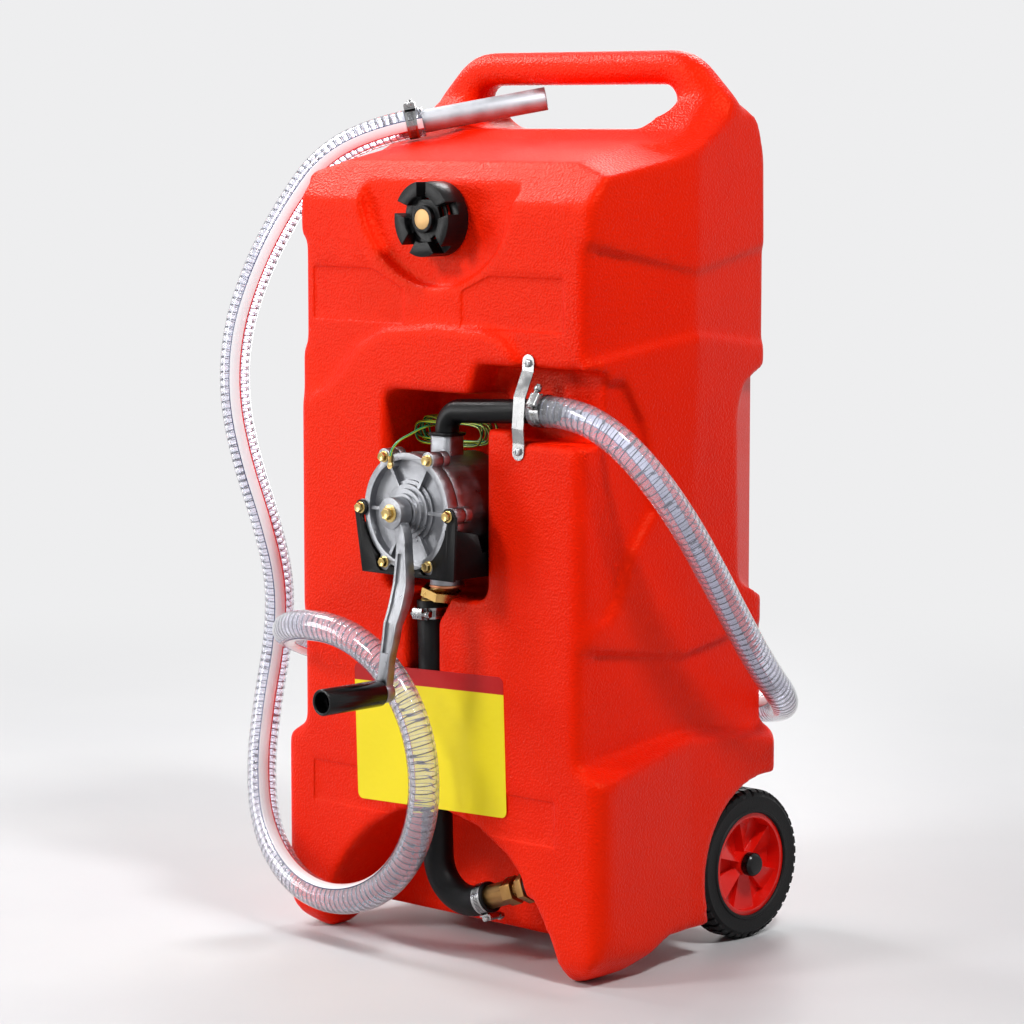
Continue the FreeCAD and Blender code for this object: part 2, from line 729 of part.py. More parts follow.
def make_housing():
    """The pump housing: flange, drum, chamber, square outlet neck and inlet boss."""
    y0 = joint_y + gasket_gap
    flange = rod(Vector(pump_x, y0, pump_z), back, cover_r, 9)
    drum = rod(Vector(pump_x, y0, pump_z), back, drum_r, housing_back_y - y0)
    neck = block(pump_x - neck_half, pump_x + neck_half, outlet_y - neck_half, outlet_y + neck_half,
                 pump_z, neck_top_z)
    edges = [e for e in neck.Edges if abs(e.tangentAt(e.FirstParameter).z) > 0.9]
    neck = neck.makeFillet(7, edges)
    boss = rod(Vector(pump_x, outlet_y, inlet_boss_low_z), up, inlet_boss_r, pump_z - inlet_boss_low_z)
    body = flange.fuse([drum, neck, boss] + ears(y0, y0 + 9, ear_r))
    chamber = rod(Vector(pump_x, y0 - 1, pump_z - chamber_drop), back, chamber_r, chamber_back_y - y0 + 1)
    outlet = rod(Vector(pump_x, outlet_y, pump_z + 30), up, neck_bore, 60)
    socket = rod(Vector(pump_x, outlet_y, neck_top_z - 12), up, pipe_r + running_gap, 13)
    inlet = rod(Vector(pump_x, outlet_y, inlet_boss_low_z - 1), up, 8.05, 60)
    bush = rod(Vector(pump_x, chamber_back_y - 1, pump_z), back, bush_r() + running_gap, 10)
    holes = ears(y0 - 1, y0 + 10, bolt_r + running_gap)
    return body.cut([chamber, outlet, socket, inlet, bush] + holes)


def make_cover_bolts():
    """Six hexagon bolts through cover and housing flange."""
    bolts = []
    for i in range(bolt_count):
        angle = math.radians(60 * i)
        x = pump_x + bolt_circle_r * math.cos(angle)
        z = pump_z + bolt_circle_r * math.sin(angle)
        face = cover_rim_y - (sheet if i in (0, 3) else 0)
        head = hex_bar(Vector(x, face - 4.5, z), back, 8, 4.5)
        bolts.append(head.fuse(rod(Vector(x, face, z), back, bolt_r, joint_y + 10 - face)))
    return Part.makeCompound(bolts)


def make_rotor():
    """The slotted rotor that carries the vanes."""
    y0 = joint_y + gasket_gap + rotor_end_gap
    y1 = chamber_back_y - rotor_end_gap
    rotor = ring_y(pump_x, pump_z, y0, y1, rotor_r, shaft_r + running_gap)
    for i in range(vane_count):
        slot = block(rotor_r - vane_length - 1, rotor_r + 2, y0 - 1, y1 + 1,
                     -vane_thickness / 2 - running_gap, vane_thickness / 2 + running_gap)
        slot.rotate(Vector(0, 0, 0), back, 360 / vane_count * i + 45)
        slot.translate(Vector(pump_x, 0, pump_z))
        rotor = rotor.cut(slot)
    return rotor


def make_vanes():
    """Four vanes, drawn in as they are where the rotor comes nearest to the chamber."""
    y0 = joint_y + gasket_gap + rotor_end_gap
    y1 = chamber_back_y - rotor_end_gap
    vanes = []
    for i in range(vane_count):
        vane = block(rotor_r - vane_length, rotor_r + 0.5, y0, y1, -vane_thickness / 2, vane_thickness / 2)
        vane.rotate(Vector(0, 0, 0), back, 360 / vane_count * i + 45)
        vane.translate(Vector(pump_x, 0, pump_z))
        vanes.append(vane)
    return Part.makeCompound(vanes)


def make_shaft():
    """The crank shaft, from the rear bush to the crank boss."""
    y0 = crank_front_y + 3
    return rod(Vector(pump_x, y0, pump_z), back, shaft_r, chamber_back_y + 8 - y0).cut(
        rod(Vector(pump_x, y0 - 1, pump_z), back, 3.05, 16))


def make_shaft_bushes():
    """The front bush in the cover and the rear bush in the housing."""
    first_y = hub_steps[-1][1] + 7
    front = ring_y(pump_x, pump_z, first_y, joint_y, bush_r(), shaft_r + running_gap)
    rear = ring_y(pump_x, pump_z, chamber_back_y, chamber_back_y + 9, bush_r(), shaft_r + running_gap)
    return Part.makeCompound([front, rear])


def make_shaft_seal():
    """The lip seal in the hub."""
    y0 = hub_steps[-1][1]
    return ring_y(pump_x, pump_z, y0, y0 + 6, seal_r(), shaft_r + running_gap)


def smooth_course(course, steps=4):
    """Places and half widths along the crank arm, with points added on a smooth curve.

    A course holds the way across, the share of the arm's length and the half width."""
    places = []
    widths = []
    for i in range(len(course) - 1):
        a, b, c, d = (course[min(max(k, 0), len(course) - 1)] for k in (i - 1, i, i + 1, i + 2))
        for step in range(steps):
            t = step / steps
            x, share, half = (b[k] + 0.5 * t * (c[k] - a[k] + t * (2 * a[k] - 5 * b[k] + 4 * c[k] - d[k]
                              + t * (3 * (b[k] - c[k]) + d[k] - a[k]))) for k in range(3))
            places.append((x, -share * crank_arm))
            widths.append(half)
    x, share, half = course[-1]
    return places + [(x, -share * crank_arm)], widths + [half]


def make_crank():
    """The cast crank arm: boss, curved arm with a channel, and the eye for the grip pin."""
    boss = rod(Vector(pump_x, crank_front_y, pump_z), back, crank_boss_r, crank_back_y - crank_front_y)
    eye_z = pump_z - crank_arm
    eye = rod(Vector(pump_x, crank_offset_y - crank_thickness / 2, eye_z), back, 11, crank_thickness)
    line, width = smooth_course(crank_course)
    left = [(pump_x + x - w, pump_z + z) for (x, z), w in zip(line, width)]
    right = [(pump_x + x + w, pump_z + z) for (x, z), w in zip(line, width)]
    arm = prism_xz(left + list(reversed(right)), -200, -150)
    depth = [(crank_front_y + 2, pump_z + 2), (crank_back_y - 2, pump_z + 2), (crank_back_y - 4, pump_z - 40),
             (crank_back_y - 7, pump_z - 80), (crank_offset_y + 5, pump_z - 112), (crank_offset_y + 5, eye_z - 12),
             (crank_offset_y - 5, eye_z - 12), (crank_offset_y - 5, pump_z - 110),
             (crank_front_y - 3, pump_z - 70), (crank_front_y + 1, pump_z - 30)]
    arm = arm.common(prism_yz(depth, -200, 200))
    groove_left = [(x + 3.0, z) for x, z in left if -0.81 < (z - pump_z) / crank_arm < -0.21]
    groove_right = [(x - 3.0, z) for x, z in right if -0.81 < (z - pump_z) / crank_arm < -0.21]
    groove = prism_xz(groove_left + list(reversed(groove_right)), -200, -150)
    floor = prism_yz([(y + 2.5, z) for y, z in depth], -200, 200)
    arm = arm.cut(groove.cut(floor))
    bore = rod(Vector(pump_x, crank_front_y + 3 - running_gap, pump_z), back, shaft_r + running_gap, 40)
    screw = rod(Vector(pump_x, crank_front_y - 1, pump_z), back, 3.05, 10)
    pin = rod(Vector(pump_x, crank_offset_y - 10, eye_z), back, grip_pin_r + running_gap, 20)
    return boss.fuse([eye, arm]).cut([bore, screw, pin])


def make_crank_bolt():
    """The flanged bolt that holds the crank on the shaft."""
    flange = rod(Vector(pump_x, crank_front_y - 2, pump_z), back, 8.5, 2)
    head = hex_bar(Vector(pump_x, crank_front_y - 8, pump_z), back, 10, 6)
    shank = rod(Vector(pump_x, crank_front_y, pump_z), back, 3.0, 15)
    return flange.fuse([head, shank])


def make_grip_pin():
    """The pin that the grip turns on, headed at both ends of the grip."""
    eye_z = pump_z - crank_arm
    start = crank_offset_y + crank_thickness / 2
    shank = rod(Vector(pump_x, start, eye_z), back * -1, grip_pin_r, start - (grip_front_y + 22))
    head = rod(Vector(pump_x, grip_front_y + 22, eye_z), back * -1, grip_bore_r - 1.5, 4)
    collar = rod(Vector(pump_x, grip_back_y - 0.3, eye_z), back, 9, 1.8)
    return shank.fuse([head, collar])


def make_grip():
    """The hollow grip, open at its outer end, with a web that runs on the pin."""
    eye_z = pump_z - crank_arm
    body = ring_y(pump_x, eye_z, grip_front_y, grip_back_y - seat_gap - 0.3, grip_r, grip_bore_r)
    web = ring_y(pump_x, eye_z, grip_front_y + 22 + seat_gap, grip_back_y - seat_gap - 0.3, grip_bore_r,
                 grip_pin_r + running_gap)
    return body.fuse(web)


def make_bracket():
    """The bent sheet bracket: ears, front plate, two sides, floor and a back flange."""
    y0, y1 = cover_rim_y - sheet, cover_rim_y
    low, left, right = bracket_low_z, bracket_left_x, bracket_right_x
    plate = prism_xz(bracket_front, y0, y1)
    ear_rods = [rod(Vector(pump_x + s * bolt_circle_r, y0, pump_z), back, ear_r - 0.5, sheet) for s in (1, -1)]
    plate = plate.cut(rod(Vector(pump_x, y0 - 1, pump_z), back, cover_r + 1, sheet + 2))
    plate = plate.cut(ears(y0 - 1, y1 + 1, ear_r + 1)[4:6])
    plate = plate.fuse(ear_rods)
    rear = bay_back_y
    right_side = block(right - sheet, right, y0, rear, low, pump_z - 12)
    left_side = block(left, left + sheet, y0, rear, low, pump_z - 12)
    taper = prism_yz([(y0 - 1, pump_z + 5), (y0 - 1, pump_z - 14), (-108, pump_z - 22), (-100, 430),
                      (rear + 1, 440), (rear + 1, pump_z + 5)], -200, 200)
    floor = block(left, right, y0, rear, low, low + sheet)
    flange = block(left, right, rear - sheet, rear, low, low + 32)
    body = plate.fuse([right_side.cut(taper), left_side.cut(taper), floor, flange])
    holes = [rod(Vector(pump_x, outlet_y, low - 1), up, inlet_boss_r + seat_gap, sheet + 2)]
    holes += ears(y0 - 1, y1 + 1, bolt_r + running_gap)
    for x in bracket_bolt_xs():
        holes.append(rod(Vector(x, rear - sheet - 1, bracket_bolt_z()), back, 2.55, sheet + 2))
    drum = rod(Vector(pump_x, y1 - 0.01, pump_z), back, cover_r + 1.0, 40)
    return body.cut(holes).cut(drum)


def make_bracket_bolts():
    """Two bolts through the bracket's back flange into the tank."""
    bolts = []
    for x in bracket_bolt_xs():
        face = bay_back_y - sheet
        head = hex_bar(Vector(x, face - 4, bracket_bolt_z()), back, 8, 4)
        bolts.append(head.fuse(rod(Vector(x, face, bracket_bolt_z()), back, 2.5, 14)))
    return Part.makeCompound(bolts)


def make_neck_lip():
    """The rubber lip where the elbow pipe enters the neck."""
    lip = block(pump_x - lip_half, pump_x + lip_half, outlet_y - lip_half, outlet_y + lip_half,
                neck_top_z, neck_top_z + lip_thickness)
    edges = [e for e in lip.Edges if abs(e.tangentAt(e.FirstParameter).z) > 0.9]
    lip = lip.makeFillet(8, edges)
    return lip.cut(rod(Vector(pump_x, outlet_y, neck_top_z - 1), up, pipe_r + running_gap, 10))


def pipe_point(x):
    """The point on the elbow pipe's axis above a place across."""
    return Vector(x, outlet_y, pipe_level_z + pipe_rise * (x - pump_x))


def make_elbow_pipe():
    """The rigid elbow from the pump neck to the delivery hose."""
    start = neck_top_z - 11
    corner = (pump_x, outlet_y, pipe_level_z)
    end = pipe_point(spigot_end_x)
    path = rounded_path([(pump_x, outlet_y, start), corner, tuple(end)], pipe_bend_r)[0]
    return pipe_along(path, pipe_r).cut(pipe_along(path, pipe_bore_r))


def make_strap():
    """The stainless strap over the pipe, flat at both screws."""
    over = outlet_y - pipe_r - strap_sheet
    lean = math.atan2(strap_top_x - strap_foot_x, strap_high_z - strap_low_z)
    high, low = strap_high_z, strap_low_z
    upper, lower = upper_front_y, front_y
    outer = [(upper, high + 9), (upper - strap_sheet, high + 9), (upper - strap_sheet, high - 8),
             (over, pipe_level_z + 21), (over, pipe_level_z - 11), (lower - strap_sheet, low + 8),
             (lower - strap_sheet, low - 9), (lower, low - 9), (lower, low + 7),
             (over + strap_sheet, pipe_level_z - 12), (over + strap_sheet, pipe_level_z + 22),
             (upper, high - 7)]
    half = strap_width / 2
    strap = prism_yz(outer, -half, half)
    ends = rod(Vector(0, -200, high + 9 - half), back, half, 200)
    foot = rod(Vector(0, -200, low - 9 + half), back, half, 200)
    middle = block(-half, half, -200, 0, low - 9 + half, high + 9 - half)
    strap = strap.common(ends.fuse([foot, middle]))
    strap.rotate(Vector(0, 0, low), back, math.degrees(lean))
    strap.translate(Vector(strap_foot_x, 0, 0))
    holes = [rod(Vector(x, y - 5, z), back, 2.2, 10) for x, y, z in strap_screw_places()]
    return strap.cut(holes)


def make_strap_screws():
    """Two pan-head screws through the strap."""
    screws = []
    for x, y, z in strap_screw_places():
        face = y - strap_sheet
        head = rod(Vector(x, face - 3.2, z), back, 4.2, 3.2)
        rim = [e for e in head.Edges if e.Length > 20 and e.CenterOfMass.y < face - 3]
        head = head.makeFillet(1.8, rim)
        cross = block(-0.6, 0.6, face - 4, face - 1.8, -2.2, 2.2)
        other = block(-2.2, 2.2, face - 4, face - 1.8, -0.6, 0.6)
        recess = cross.fuse(other)
        recess.translate(Vector(x, 0, z))
        screws.append(head.cut(recess).fuse(rod(Vector(x, face, z), back, 1.7, 12)))
    return Part.makeCompound(screws)


def make_inlet_washer():
    """The copper washer under the pump's boss."""
    z0 = inlet_boss_low_z - inlet_washer_z
    return tube(Vector(pump_x, outlet_y, z0), up, inlet_boss_r + 0.5, 8.05, inlet_washer_z)


def make_inlet_tail():
    """The brass nut and hose tail: it steps aside to the suction hose."""
    z_top = inlet_boss_low_z - inlet_washer_z
    spigot_r = hose_bore_r - running_gap
    stub = rod(Vector(pump_x, outlet_y, z_top - 1), up, 8.0, 30)
    top = Part.Wire(Part.makeCircle(inlet_boss_r - 2, Vector(pump_x, outlet_y, z_top), up))
    mouth = Vector(suction_x, suction_y, suction_top_z)
    fall = suction_fall()
    bottom = Part.Wire(Part.makeCircle(spigot_r, mouth - fall, fall))
    cone = Part.makeLoft([top, bottom], True, True)
    middle = Vector((pump_x + suction_x) / 2 + 1, (outlet_y + suction_y) / 2, z_top - 13)
    nut = hex_bar(middle, Vector(0.25, 0, 1).normalize(), inlet_nut_flats, inlet_nut_height)
    barb = rod(mouth - fall, fall, spigot_r, 27)
    return cone.fuse([stub, nut, barb])


def suction_path():
    """The suction hose's centre line, from the pump's tail to the tank's outlet."""
    wall_point, outward = outlet_axis()
    hose_end = wall_point + outward * outlet_reach
    steps = (suction_low_x - hose_end.x) / outward.x
    corner = hose_end + outward * steps
    return [(suction_x, suction_y, suction_top_z), tuple(corner), tuple(hose_end)]


def suction_fall():
    """The direction in which the suction hose leaves the pump's tail."""
    path = suction_path()
    return (Vector(*path[1]) - Vector(*path[0])).normalize()


def make_suction_hose():
    """The black suction hose with its bore."""
    path = rounded_path(suction_path(), suction_bend_r)[0]
    hose = pipe_along(path, hose_r)
    return hose.cut(pipe_along(path, hose_bore_r))


def make_outlet_fitting():
    """The brass bulkhead fitting of the tank with its collar and hose tail."""
    point, outward = outlet_axis()
    stem = rod(point - outward * 30, outward, 9.0, 80)
    collar = hex_bar(point + outward * 22, outward, 26, 14)
    tail = rod(point + outward * 36, outward, hose_bore_r - running_gap, outlet_reach + 15 - 36)
    return stem.fuse([collar, tail]).cut(rod(point - outward * 31, outward, 6, 160))


def make_outlet_nut():
    """The brass nut that draws the bulkhead fitting tight, and its inner mate."""
    point, outward = outlet_axis()
    nut = hex_bar(point + outward * 3, outward, 30, 9)
    return nut.cut(rod(point, outward, 9.0 + running_gap, 40))


def make_outlet_gasket():
    """The rubber washer between the nut and the tank's wall."""
    point, outward = outlet_axis()
    return tube(point, outward, 14, 9.0 + running_gap, 3)


def clamp(centre, direction, radius, screw_side):
    """A worm-drive hose clamp: band, worm housing and screw, as two solids."""
    along = Vector(direction).normalize()
    cross = along.cross(Vector(screw_side)).normalize()
    side = cross.cross(along)
    band = tube(centre - along * 6, along, radius + 1.0, radius + running_gap, 12)
    place = Placement(centre, Rotation(cross, side, along, "XYZ"))
    house = block(-8, 8, radius + 1.05, radius + 8.0, -6, 6)
    foot = block(-9, 9, radius - 1.5, radius + 1.2, -6, 6)
    drill = rod(Vector(-20, radius + 5.0, 0), across, 2.55, 40)
    house = house.fuse(foot).cut(rod(Vector(0, 0, -10), up, radius + running_gap, 20)).cut(drill)
    screw = rod(Vector(-9, radius + 5.0, 0), across, 2.5, 22)
    head = hex_bar(Vector(13, radius + 5.0, 0), across, 6.5, 4)
    screw = screw.fuse(head)
    house.Placement = place
    screw.Placement = place
    return [band.fuse(house), screw]


def make_delivery_hose():
    """The clear delivery hose: a plain tube with a socket bored in each end."""
    path, radii = rounded_path(delivery_route)
    hose = pipe_along(path, hose_r)
    report_cord("delivery_hose", path, radii, hose, hose_r)
    first, second = Vector(*delivery_route[0]), Vector(*delivery_route[1])
    start = (second - first).normalize()
    end = nozzle_axis()
    last = Vector(*delivery_route[-1])
    sockets = [rod(first - start, start, hose_bore_r, spigot_end_x - spigot_start_x + 2.0),
               rod(last + end, end * -1, hose_bore_r, nozzle_insert + 2.0)]
    return hose.cut(sockets)


def nozzle_axis():
    """The direction in which the hose meets the nozzle pipe."""
    return (Vector(*delivery_route[-1]) - Vector(*delivery_route[-2])).normalize()


def make_nozzle():
    """The light alloy spout pushed into the hose."""
    direction = nozzle_axis()
    start = Vector(*delivery_route[-1]) - direction * nozzle_insert
    return tube(start, direction, nozzle_r, nozzle_bore_r, nozzle_insert + nozzle_reach)


def earth_wires():
    """The wire from its screw to the hank."""
    path, radii = rounded_path(earth_route)
    wire = pipe_along(path, wire_r)
    report_cord("earth_wire", path, radii, wire, wire_r)
    return wire


def hank_route():
    """The hank's corners: flattened loops side by side behind the neck."""
    start_x, start_y, start_z = earth_route[-1]
    corner = hank_rise * math.tan(math.radians(22.5))
    long = hank_half - hank_rise
    half_loop = [(-long - corner, 1.0), (-long - hank_rise, 0.414), (-long - hank_rise, -0.414),
                 (-long - corner, -1.0), (-long / 3, -1.08), (long / 3, -1.08)]
    loop = half_loop + [(-x, -z) for x, z in half_loop]
    points = [earth_route[-1]]
    for i in range(hank_turns * len(loop)):
        x, z = loop[i % len(loop)]
        y = start_y + hank_pitch * i / len(loop)
        points.append((hank_centre_x + x, y, start_z - hank_rise + hank_rise * z))
    return points


def make_earth_hank():
    """The spare earth wire, wound into a flat hank."""
    path, radii = rounded_path(hank_route())
    hank = pipe_along(path, wire_r)
    report_cord("earth_hank", path, radii, hank, wire_r)
    report_gap("earth_hank", path, wire_r)
    return hank


def report_gap(name, path, radius):
    """Print the least gap of a wound wire to itself, from points 1 mm apart along it."""
    points = [tuple(p) for p in path.discretize(Number=int(path.Length) + 1)]
    least = min(math.dist(points[i], points[j])
                for i in range(len(points)) for j in range(i + 12, len(points)))
    print(f"{name}: least gap to itself {least - 2 * radius:.2f} mm")


def make_earth_screw():
    """The small screw that fixes the earth wire to the cover."""
    head = rod(Vector(-11, cover_rim_y - 2.5, 519), back, 3.2, 2.5)
    return head.fuse(rod(Vector(-11, cover_rim_y, 519), back, 1.5, 8))


def wheel(hand):
    """Rim, tyre, bush and their places on one side; hand is 1 on the right."""
    face = wheel_face_x
    inner = face - tyre_width
    tyre = ring_x(inner, face, wheel_r, rim_r)
    tyre = tyre.makeFillet(7, [e for e in tyre.Edges if e.Length > 6 * wheel_r])
    groove = ring_x(inner + tyre_width / 2 - 1.2, inner + tyre_width / 2 + 1.2, wheel_r + 1, wheel_r - 2.5)
    tyre = tyre.cut(groove)
    rim = ring_x(inner + 2, face - 3, rim_r, rim_r - 5)
    web = ring_x(inner + 12, inner + 16, rim_r - 4, 10)
    hub = ring_x(inner - 1, face - 6, 13, bush_outer_r() + running_gap)
    shapes = [web, hub]
    for i in range(rim_blades):
        blade = rim_blade(inner + 14, face)
        blade.rotate(Vector(0, 0, 0), across, 360 / rim_blades * i)
        blade.translate(Vector(0, axle_y, wheel_r))
        shapes.append(blade)
    rim = rim.fuse(shapes)
    bush = ring_x(inner - 2, face - 5, bush_outer_r(), axle_r + running_gap)
    parts = [rim, tyre, bush]
    if hand < 0:
        parts = [p.mirror(Vector(0, 0, 0), across) for p in parts]
    return parts


def rim_blade(back_x, face):
    """One blade of the rim: it widens from hub to ring, and its face slopes to one side."""
    wires = []
    for radius, half in ((11, 3.0), (rim_r - 4, blade_half_width)):
        wires.append(polygon([(back_x, -half, radius), (face - 8, -half, radius),
                              (face - 15, half, radius), (back_x, half, radius)]))
    return Part.makeLoft(wires, True, True)


def bush_outer_r():
    return axle_r + 3.0


def ring_x(x0, x1, radius, bore):
    """A ring round the wheel axis."""
    return tube(Vector(x0, axle_y, wheel_r), across, radius, bore, x1 - x0)


def make_axle():
    """The steel axle through the tank's tunnel."""
    reach = wheel_face_x + 1.0
    return rod(Vector(-reach, axle_y, wheel_r), across, axle_r, 2 * reach)


def make_wheel_washers():
    """A washer between the tank and each wheel."""
    x1 = wheel_face_x - tyre_width - 2.0 - seat_gap
    right = ring_x(arch_inner_x + seat_gap, x1, 14, axle_r + running_gap)
    return Part.makeCompound([right, right.mirror(Vector(0, 0, 0), across)])


def make_hub_caps():
    """The domed push-on caps on the axle's ends."""
    x0 = wheel_face_x - 5 + seat_gap
    dome = Part.makeSphere(hub_cap_r + 2, Vector(x0, axle_y, wheel_r))
    limit = ring_x(x0, x0 + 11, hub_cap_r, 0.01).fuse(rod(Vector(x0, axle_y, wheel_r), across, 1, 11))
    cap = dome.common(limit)
    cap = cap.cut(rod(Vector(x0 - 1, axle_y, wheel_r), across, axle_r + running_gap, 8))
    return Part.makeCompound([cap, cap.mirror(Vector(0, 0, 0), across)])


def build():
    """Every node of the caddy by name."""
    nodes = {
        "tank": make_tank(),
        "info_sticker": make_sticker(),
        "filler_cap": make_cap(),
        "cap_disc": make_vent(),
        "cap_gasket": make_cap_gasket(),
        "pump_cover": make_cover(),
        "cover_gasket": make_cover_gasket(),
        "pump_housing": make_housing(),
        "cover_bolts": make_cover_bolts(),
        "pump_rotor": make_rotor(),
        "rotor_vanes": make_vanes(),
        "crank_shaft": make_shaft(),
        "shaft_bushes": make_shaft_bushes(),
        "shaft_seal": make_shaft_seal(),
        "crank_arm": make_crank(),
        "crank_bolt": make_crank_bolt(),
        "grip_pin": make_grip_pin(),
        "crank_grip": make_grip(),
        "pump_bracket": make_bracket(),
        "bracket_bolts": make_bracket_bolts(),
        "neck_lip": make_neck_lip(),
        "elbow_pipe": make_elbow_pipe(),
        "pipe_strap": make_strap(),
        "strap_screws": make_strap_screws(),
        "inlet_washer": make_inlet_washer(),
        "inlet_tail": make_inlet_tail(),
        "suction_hose": make_suction_hose(),
        "outlet_fitting": make_outlet_fitting(),
        "outlet_nut": make_outlet_nut(),
        "outlet_gasket": make_outlet_gasket(),
        "delivery_hose": make_delivery_hose(),
        "nozzle_pipe": make_nozzle(),
        "earth_wire": earth_wires(),
        "earth_hank": make_earth_hank(),
        "earth_screw": make_earth_screw(),
        "axle": make_axle(),
        "wheel_washers": make_wheel_washers(),
        "hub_caps": make_hub_caps(),
    }
    for name, hand in (("right", 1), ("left", -1)):
        rim, tyre, bush = wheel(hand)
        nodes[name + "_rim"] = rim
        nodes[name + "_tyre"] = tyre
        nodes[name + "_wheel_bush"] = bush
    point, outward = outlet_axis()
    top = Vector(suction_x, suction_y, suction_top_z) + suction_fall() * 13
    upper = clamp(top, suction_fall(), hose_r, (0, -1, 0))
    lower = clamp(point + outward * (outlet_reach + 8), outward, hose_r, (0.34, 0, -0.94))
    nodes["suction_clamps"] = Part.makeCompound(upper + lower)
    start = pipe_point(spigot_start_x)
    run = (pipe_point(spigot_end_x) - start).normalize()
    delivery = clamp(start + run * 12, run, hose_r, (0, -0.8, 0.6))
    nodes["delivery_clamp"] = Part.makeCompound(delivery)
    centre = Vector(*delivery_route[-1]) - nozzle_axis() * 12
    nodes["nozzle_clamp"] = Part.makeCompound(clamp(centre, nozzle_axis(), hose_r, (-0.1, -0.2, 0.97)))
    return nodes


os.makedirs("parts", exist_ok=True)
for name, shape in build().items():
    if not shape.isValid():
        print("not valid:", name)
    shape.exportStep("parts/%s.step" % name)
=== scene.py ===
import json
import math

import bmesh
import bpy
from mathutils import Matrix, Vector

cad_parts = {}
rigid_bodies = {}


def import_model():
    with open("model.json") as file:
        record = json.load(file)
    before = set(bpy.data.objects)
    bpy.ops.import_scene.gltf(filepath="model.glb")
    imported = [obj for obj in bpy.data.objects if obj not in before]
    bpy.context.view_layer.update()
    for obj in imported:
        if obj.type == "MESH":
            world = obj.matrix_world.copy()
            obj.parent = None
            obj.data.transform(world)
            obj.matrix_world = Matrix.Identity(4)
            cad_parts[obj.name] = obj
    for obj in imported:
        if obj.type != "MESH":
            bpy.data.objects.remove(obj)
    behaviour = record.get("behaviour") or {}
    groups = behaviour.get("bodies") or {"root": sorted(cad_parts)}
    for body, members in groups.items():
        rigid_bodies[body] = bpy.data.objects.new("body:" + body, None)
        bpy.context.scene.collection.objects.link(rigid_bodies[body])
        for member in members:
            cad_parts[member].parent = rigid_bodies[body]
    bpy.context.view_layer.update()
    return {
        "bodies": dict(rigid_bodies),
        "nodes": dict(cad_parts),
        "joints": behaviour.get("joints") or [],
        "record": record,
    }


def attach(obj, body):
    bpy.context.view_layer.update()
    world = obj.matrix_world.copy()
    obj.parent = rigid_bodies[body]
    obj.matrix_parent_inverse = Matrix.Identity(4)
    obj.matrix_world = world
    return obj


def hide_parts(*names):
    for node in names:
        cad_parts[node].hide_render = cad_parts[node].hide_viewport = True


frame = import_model()
nodes = frame["nodes"]
body_of_node = {n: b for b, ns in frame["record"]["behaviour"]["bodies"].items() for n in ns}

# Camera: where the photograph was taken from
camera_azimuth = math.radians(43.255)
camera_pitch = math.radians(6.542)
camera_place = Vector((2.481, -2.618, 0.872))
camera_lens = 121.53

# Tank: its front, its bores and the grid that it is rounded on, in metres
upper_front_y = -0.091
front_half_y = -0.05
filler = Vector((-0.008, -0.076, 0.767))
filler_bore_r = 0.022
outlet_wall = Vector((0.124, -0.081, 0.0916))
outlet_tilt = math.radians(20)
outlet_way = Vector((-math.cos(outlet_tilt), 0, -math.sin(outlet_tilt)))
outlet_bore_r = 0.00905
bore_slack = 0.0003
tank_voxel = 0.0032
tank_rounding = 5
tank_triangles = 150000

# Where the tank is rounded further: its handle, its feet and the two corners of its front
tank_more_rounding = 14
handle_low_z = 0.872
feet_high_z = 0.05
front_corner_x = 0.18
front_corner_y = -0.072

# Moulding seam: its plane, width and upper end, and its height as a share of the panels' relief
parting_y = 0.061
seam_half_width = 0.0005
seam_high_z = 0.84
seam_share = 0.6

# Delivery hose
hose_r = 0.016
hose_wall = 0.0035
hose_wire_r = 0.0006
hose_wire_pitch = 0.0078
hose_wire_steps = 14
hose_shade = 0.2
stripe_half_angle = 0.41
stripe_red_angle = 0.085
stripe_blue_angle = 0.07
stripe_twist = math.radians(170)
stripe_twist_share = 0.52
stripe_film = 0.0002
stripe_seen_at = Vector((-0.300, -0.098, 0.638))
to_camera = Vector((0.740, -0.670, 0.062))
hose_route = (
    (0.1345, -0.089, 0.57785), (0.178, -0.089, 0.58024), (0.228, -0.084, 0.563),
    (0.264, -0.064, 0.523), (0.279, -0.028, 0.471), (0.276, 0.020, 0.414),
    (0.270, 0.068, 0.358), (0.262, 0.118, 0.306), (0.246, 0.174, 0.266),
    (0.203, 0.219, 0.246), (0.140, 0.232, 0.240), (0.074, 0.229, 0.240),
    (0.004, 0.227, 0.243), (-0.066, 0.230, 0.244), (-0.136, 0.232, 0.247),
    (-0.201, 0.219, 0.250), (-0.246, 0.174, 0.254), (-0.257, 0.112, 0.260),
    (-0.250, 0.046, 0.271), (-0.240, -0.016, 0.289), (-0.234, -0.074, 0.309),
    (-0.203, -0.122, 0.327), (-0.150, -0.146, 0.341), (-0.086, -0.149, 0.341),
    (-0.028, -0.149, 0.317), (0.014, -0.148, 0.272), (0.033, -0.146, 0.214),
    (0.027, -0.143, 0.152), (-0.006, -0.139, 0.096), (-0.062, -0.135, 0.058),
    (-0.130, -0.130, 0.044), (-0.196, -0.121, 0.058), (-0.248, -0.109, 0.102),
    (-0.276, -0.090, 0.163), (-0.288, -0.068, 0.230), (-0.284, -0.054, 0.300),
    (-0.274, -0.060, 0.368), (-0.277, -0.078, 0.435), (-0.290, -0.094, 0.500),
    (-0.301, -0.102, 0.568), (-0.300, -0.098, 0.638), (-0.285, -0.082, 0.706),
    (-0.266, -0.053, 0.771), (-0.237, -0.024, 0.828), (-0.186, 0.009, 0.857),
    (-0.150, 0.040, 0.8658),
)

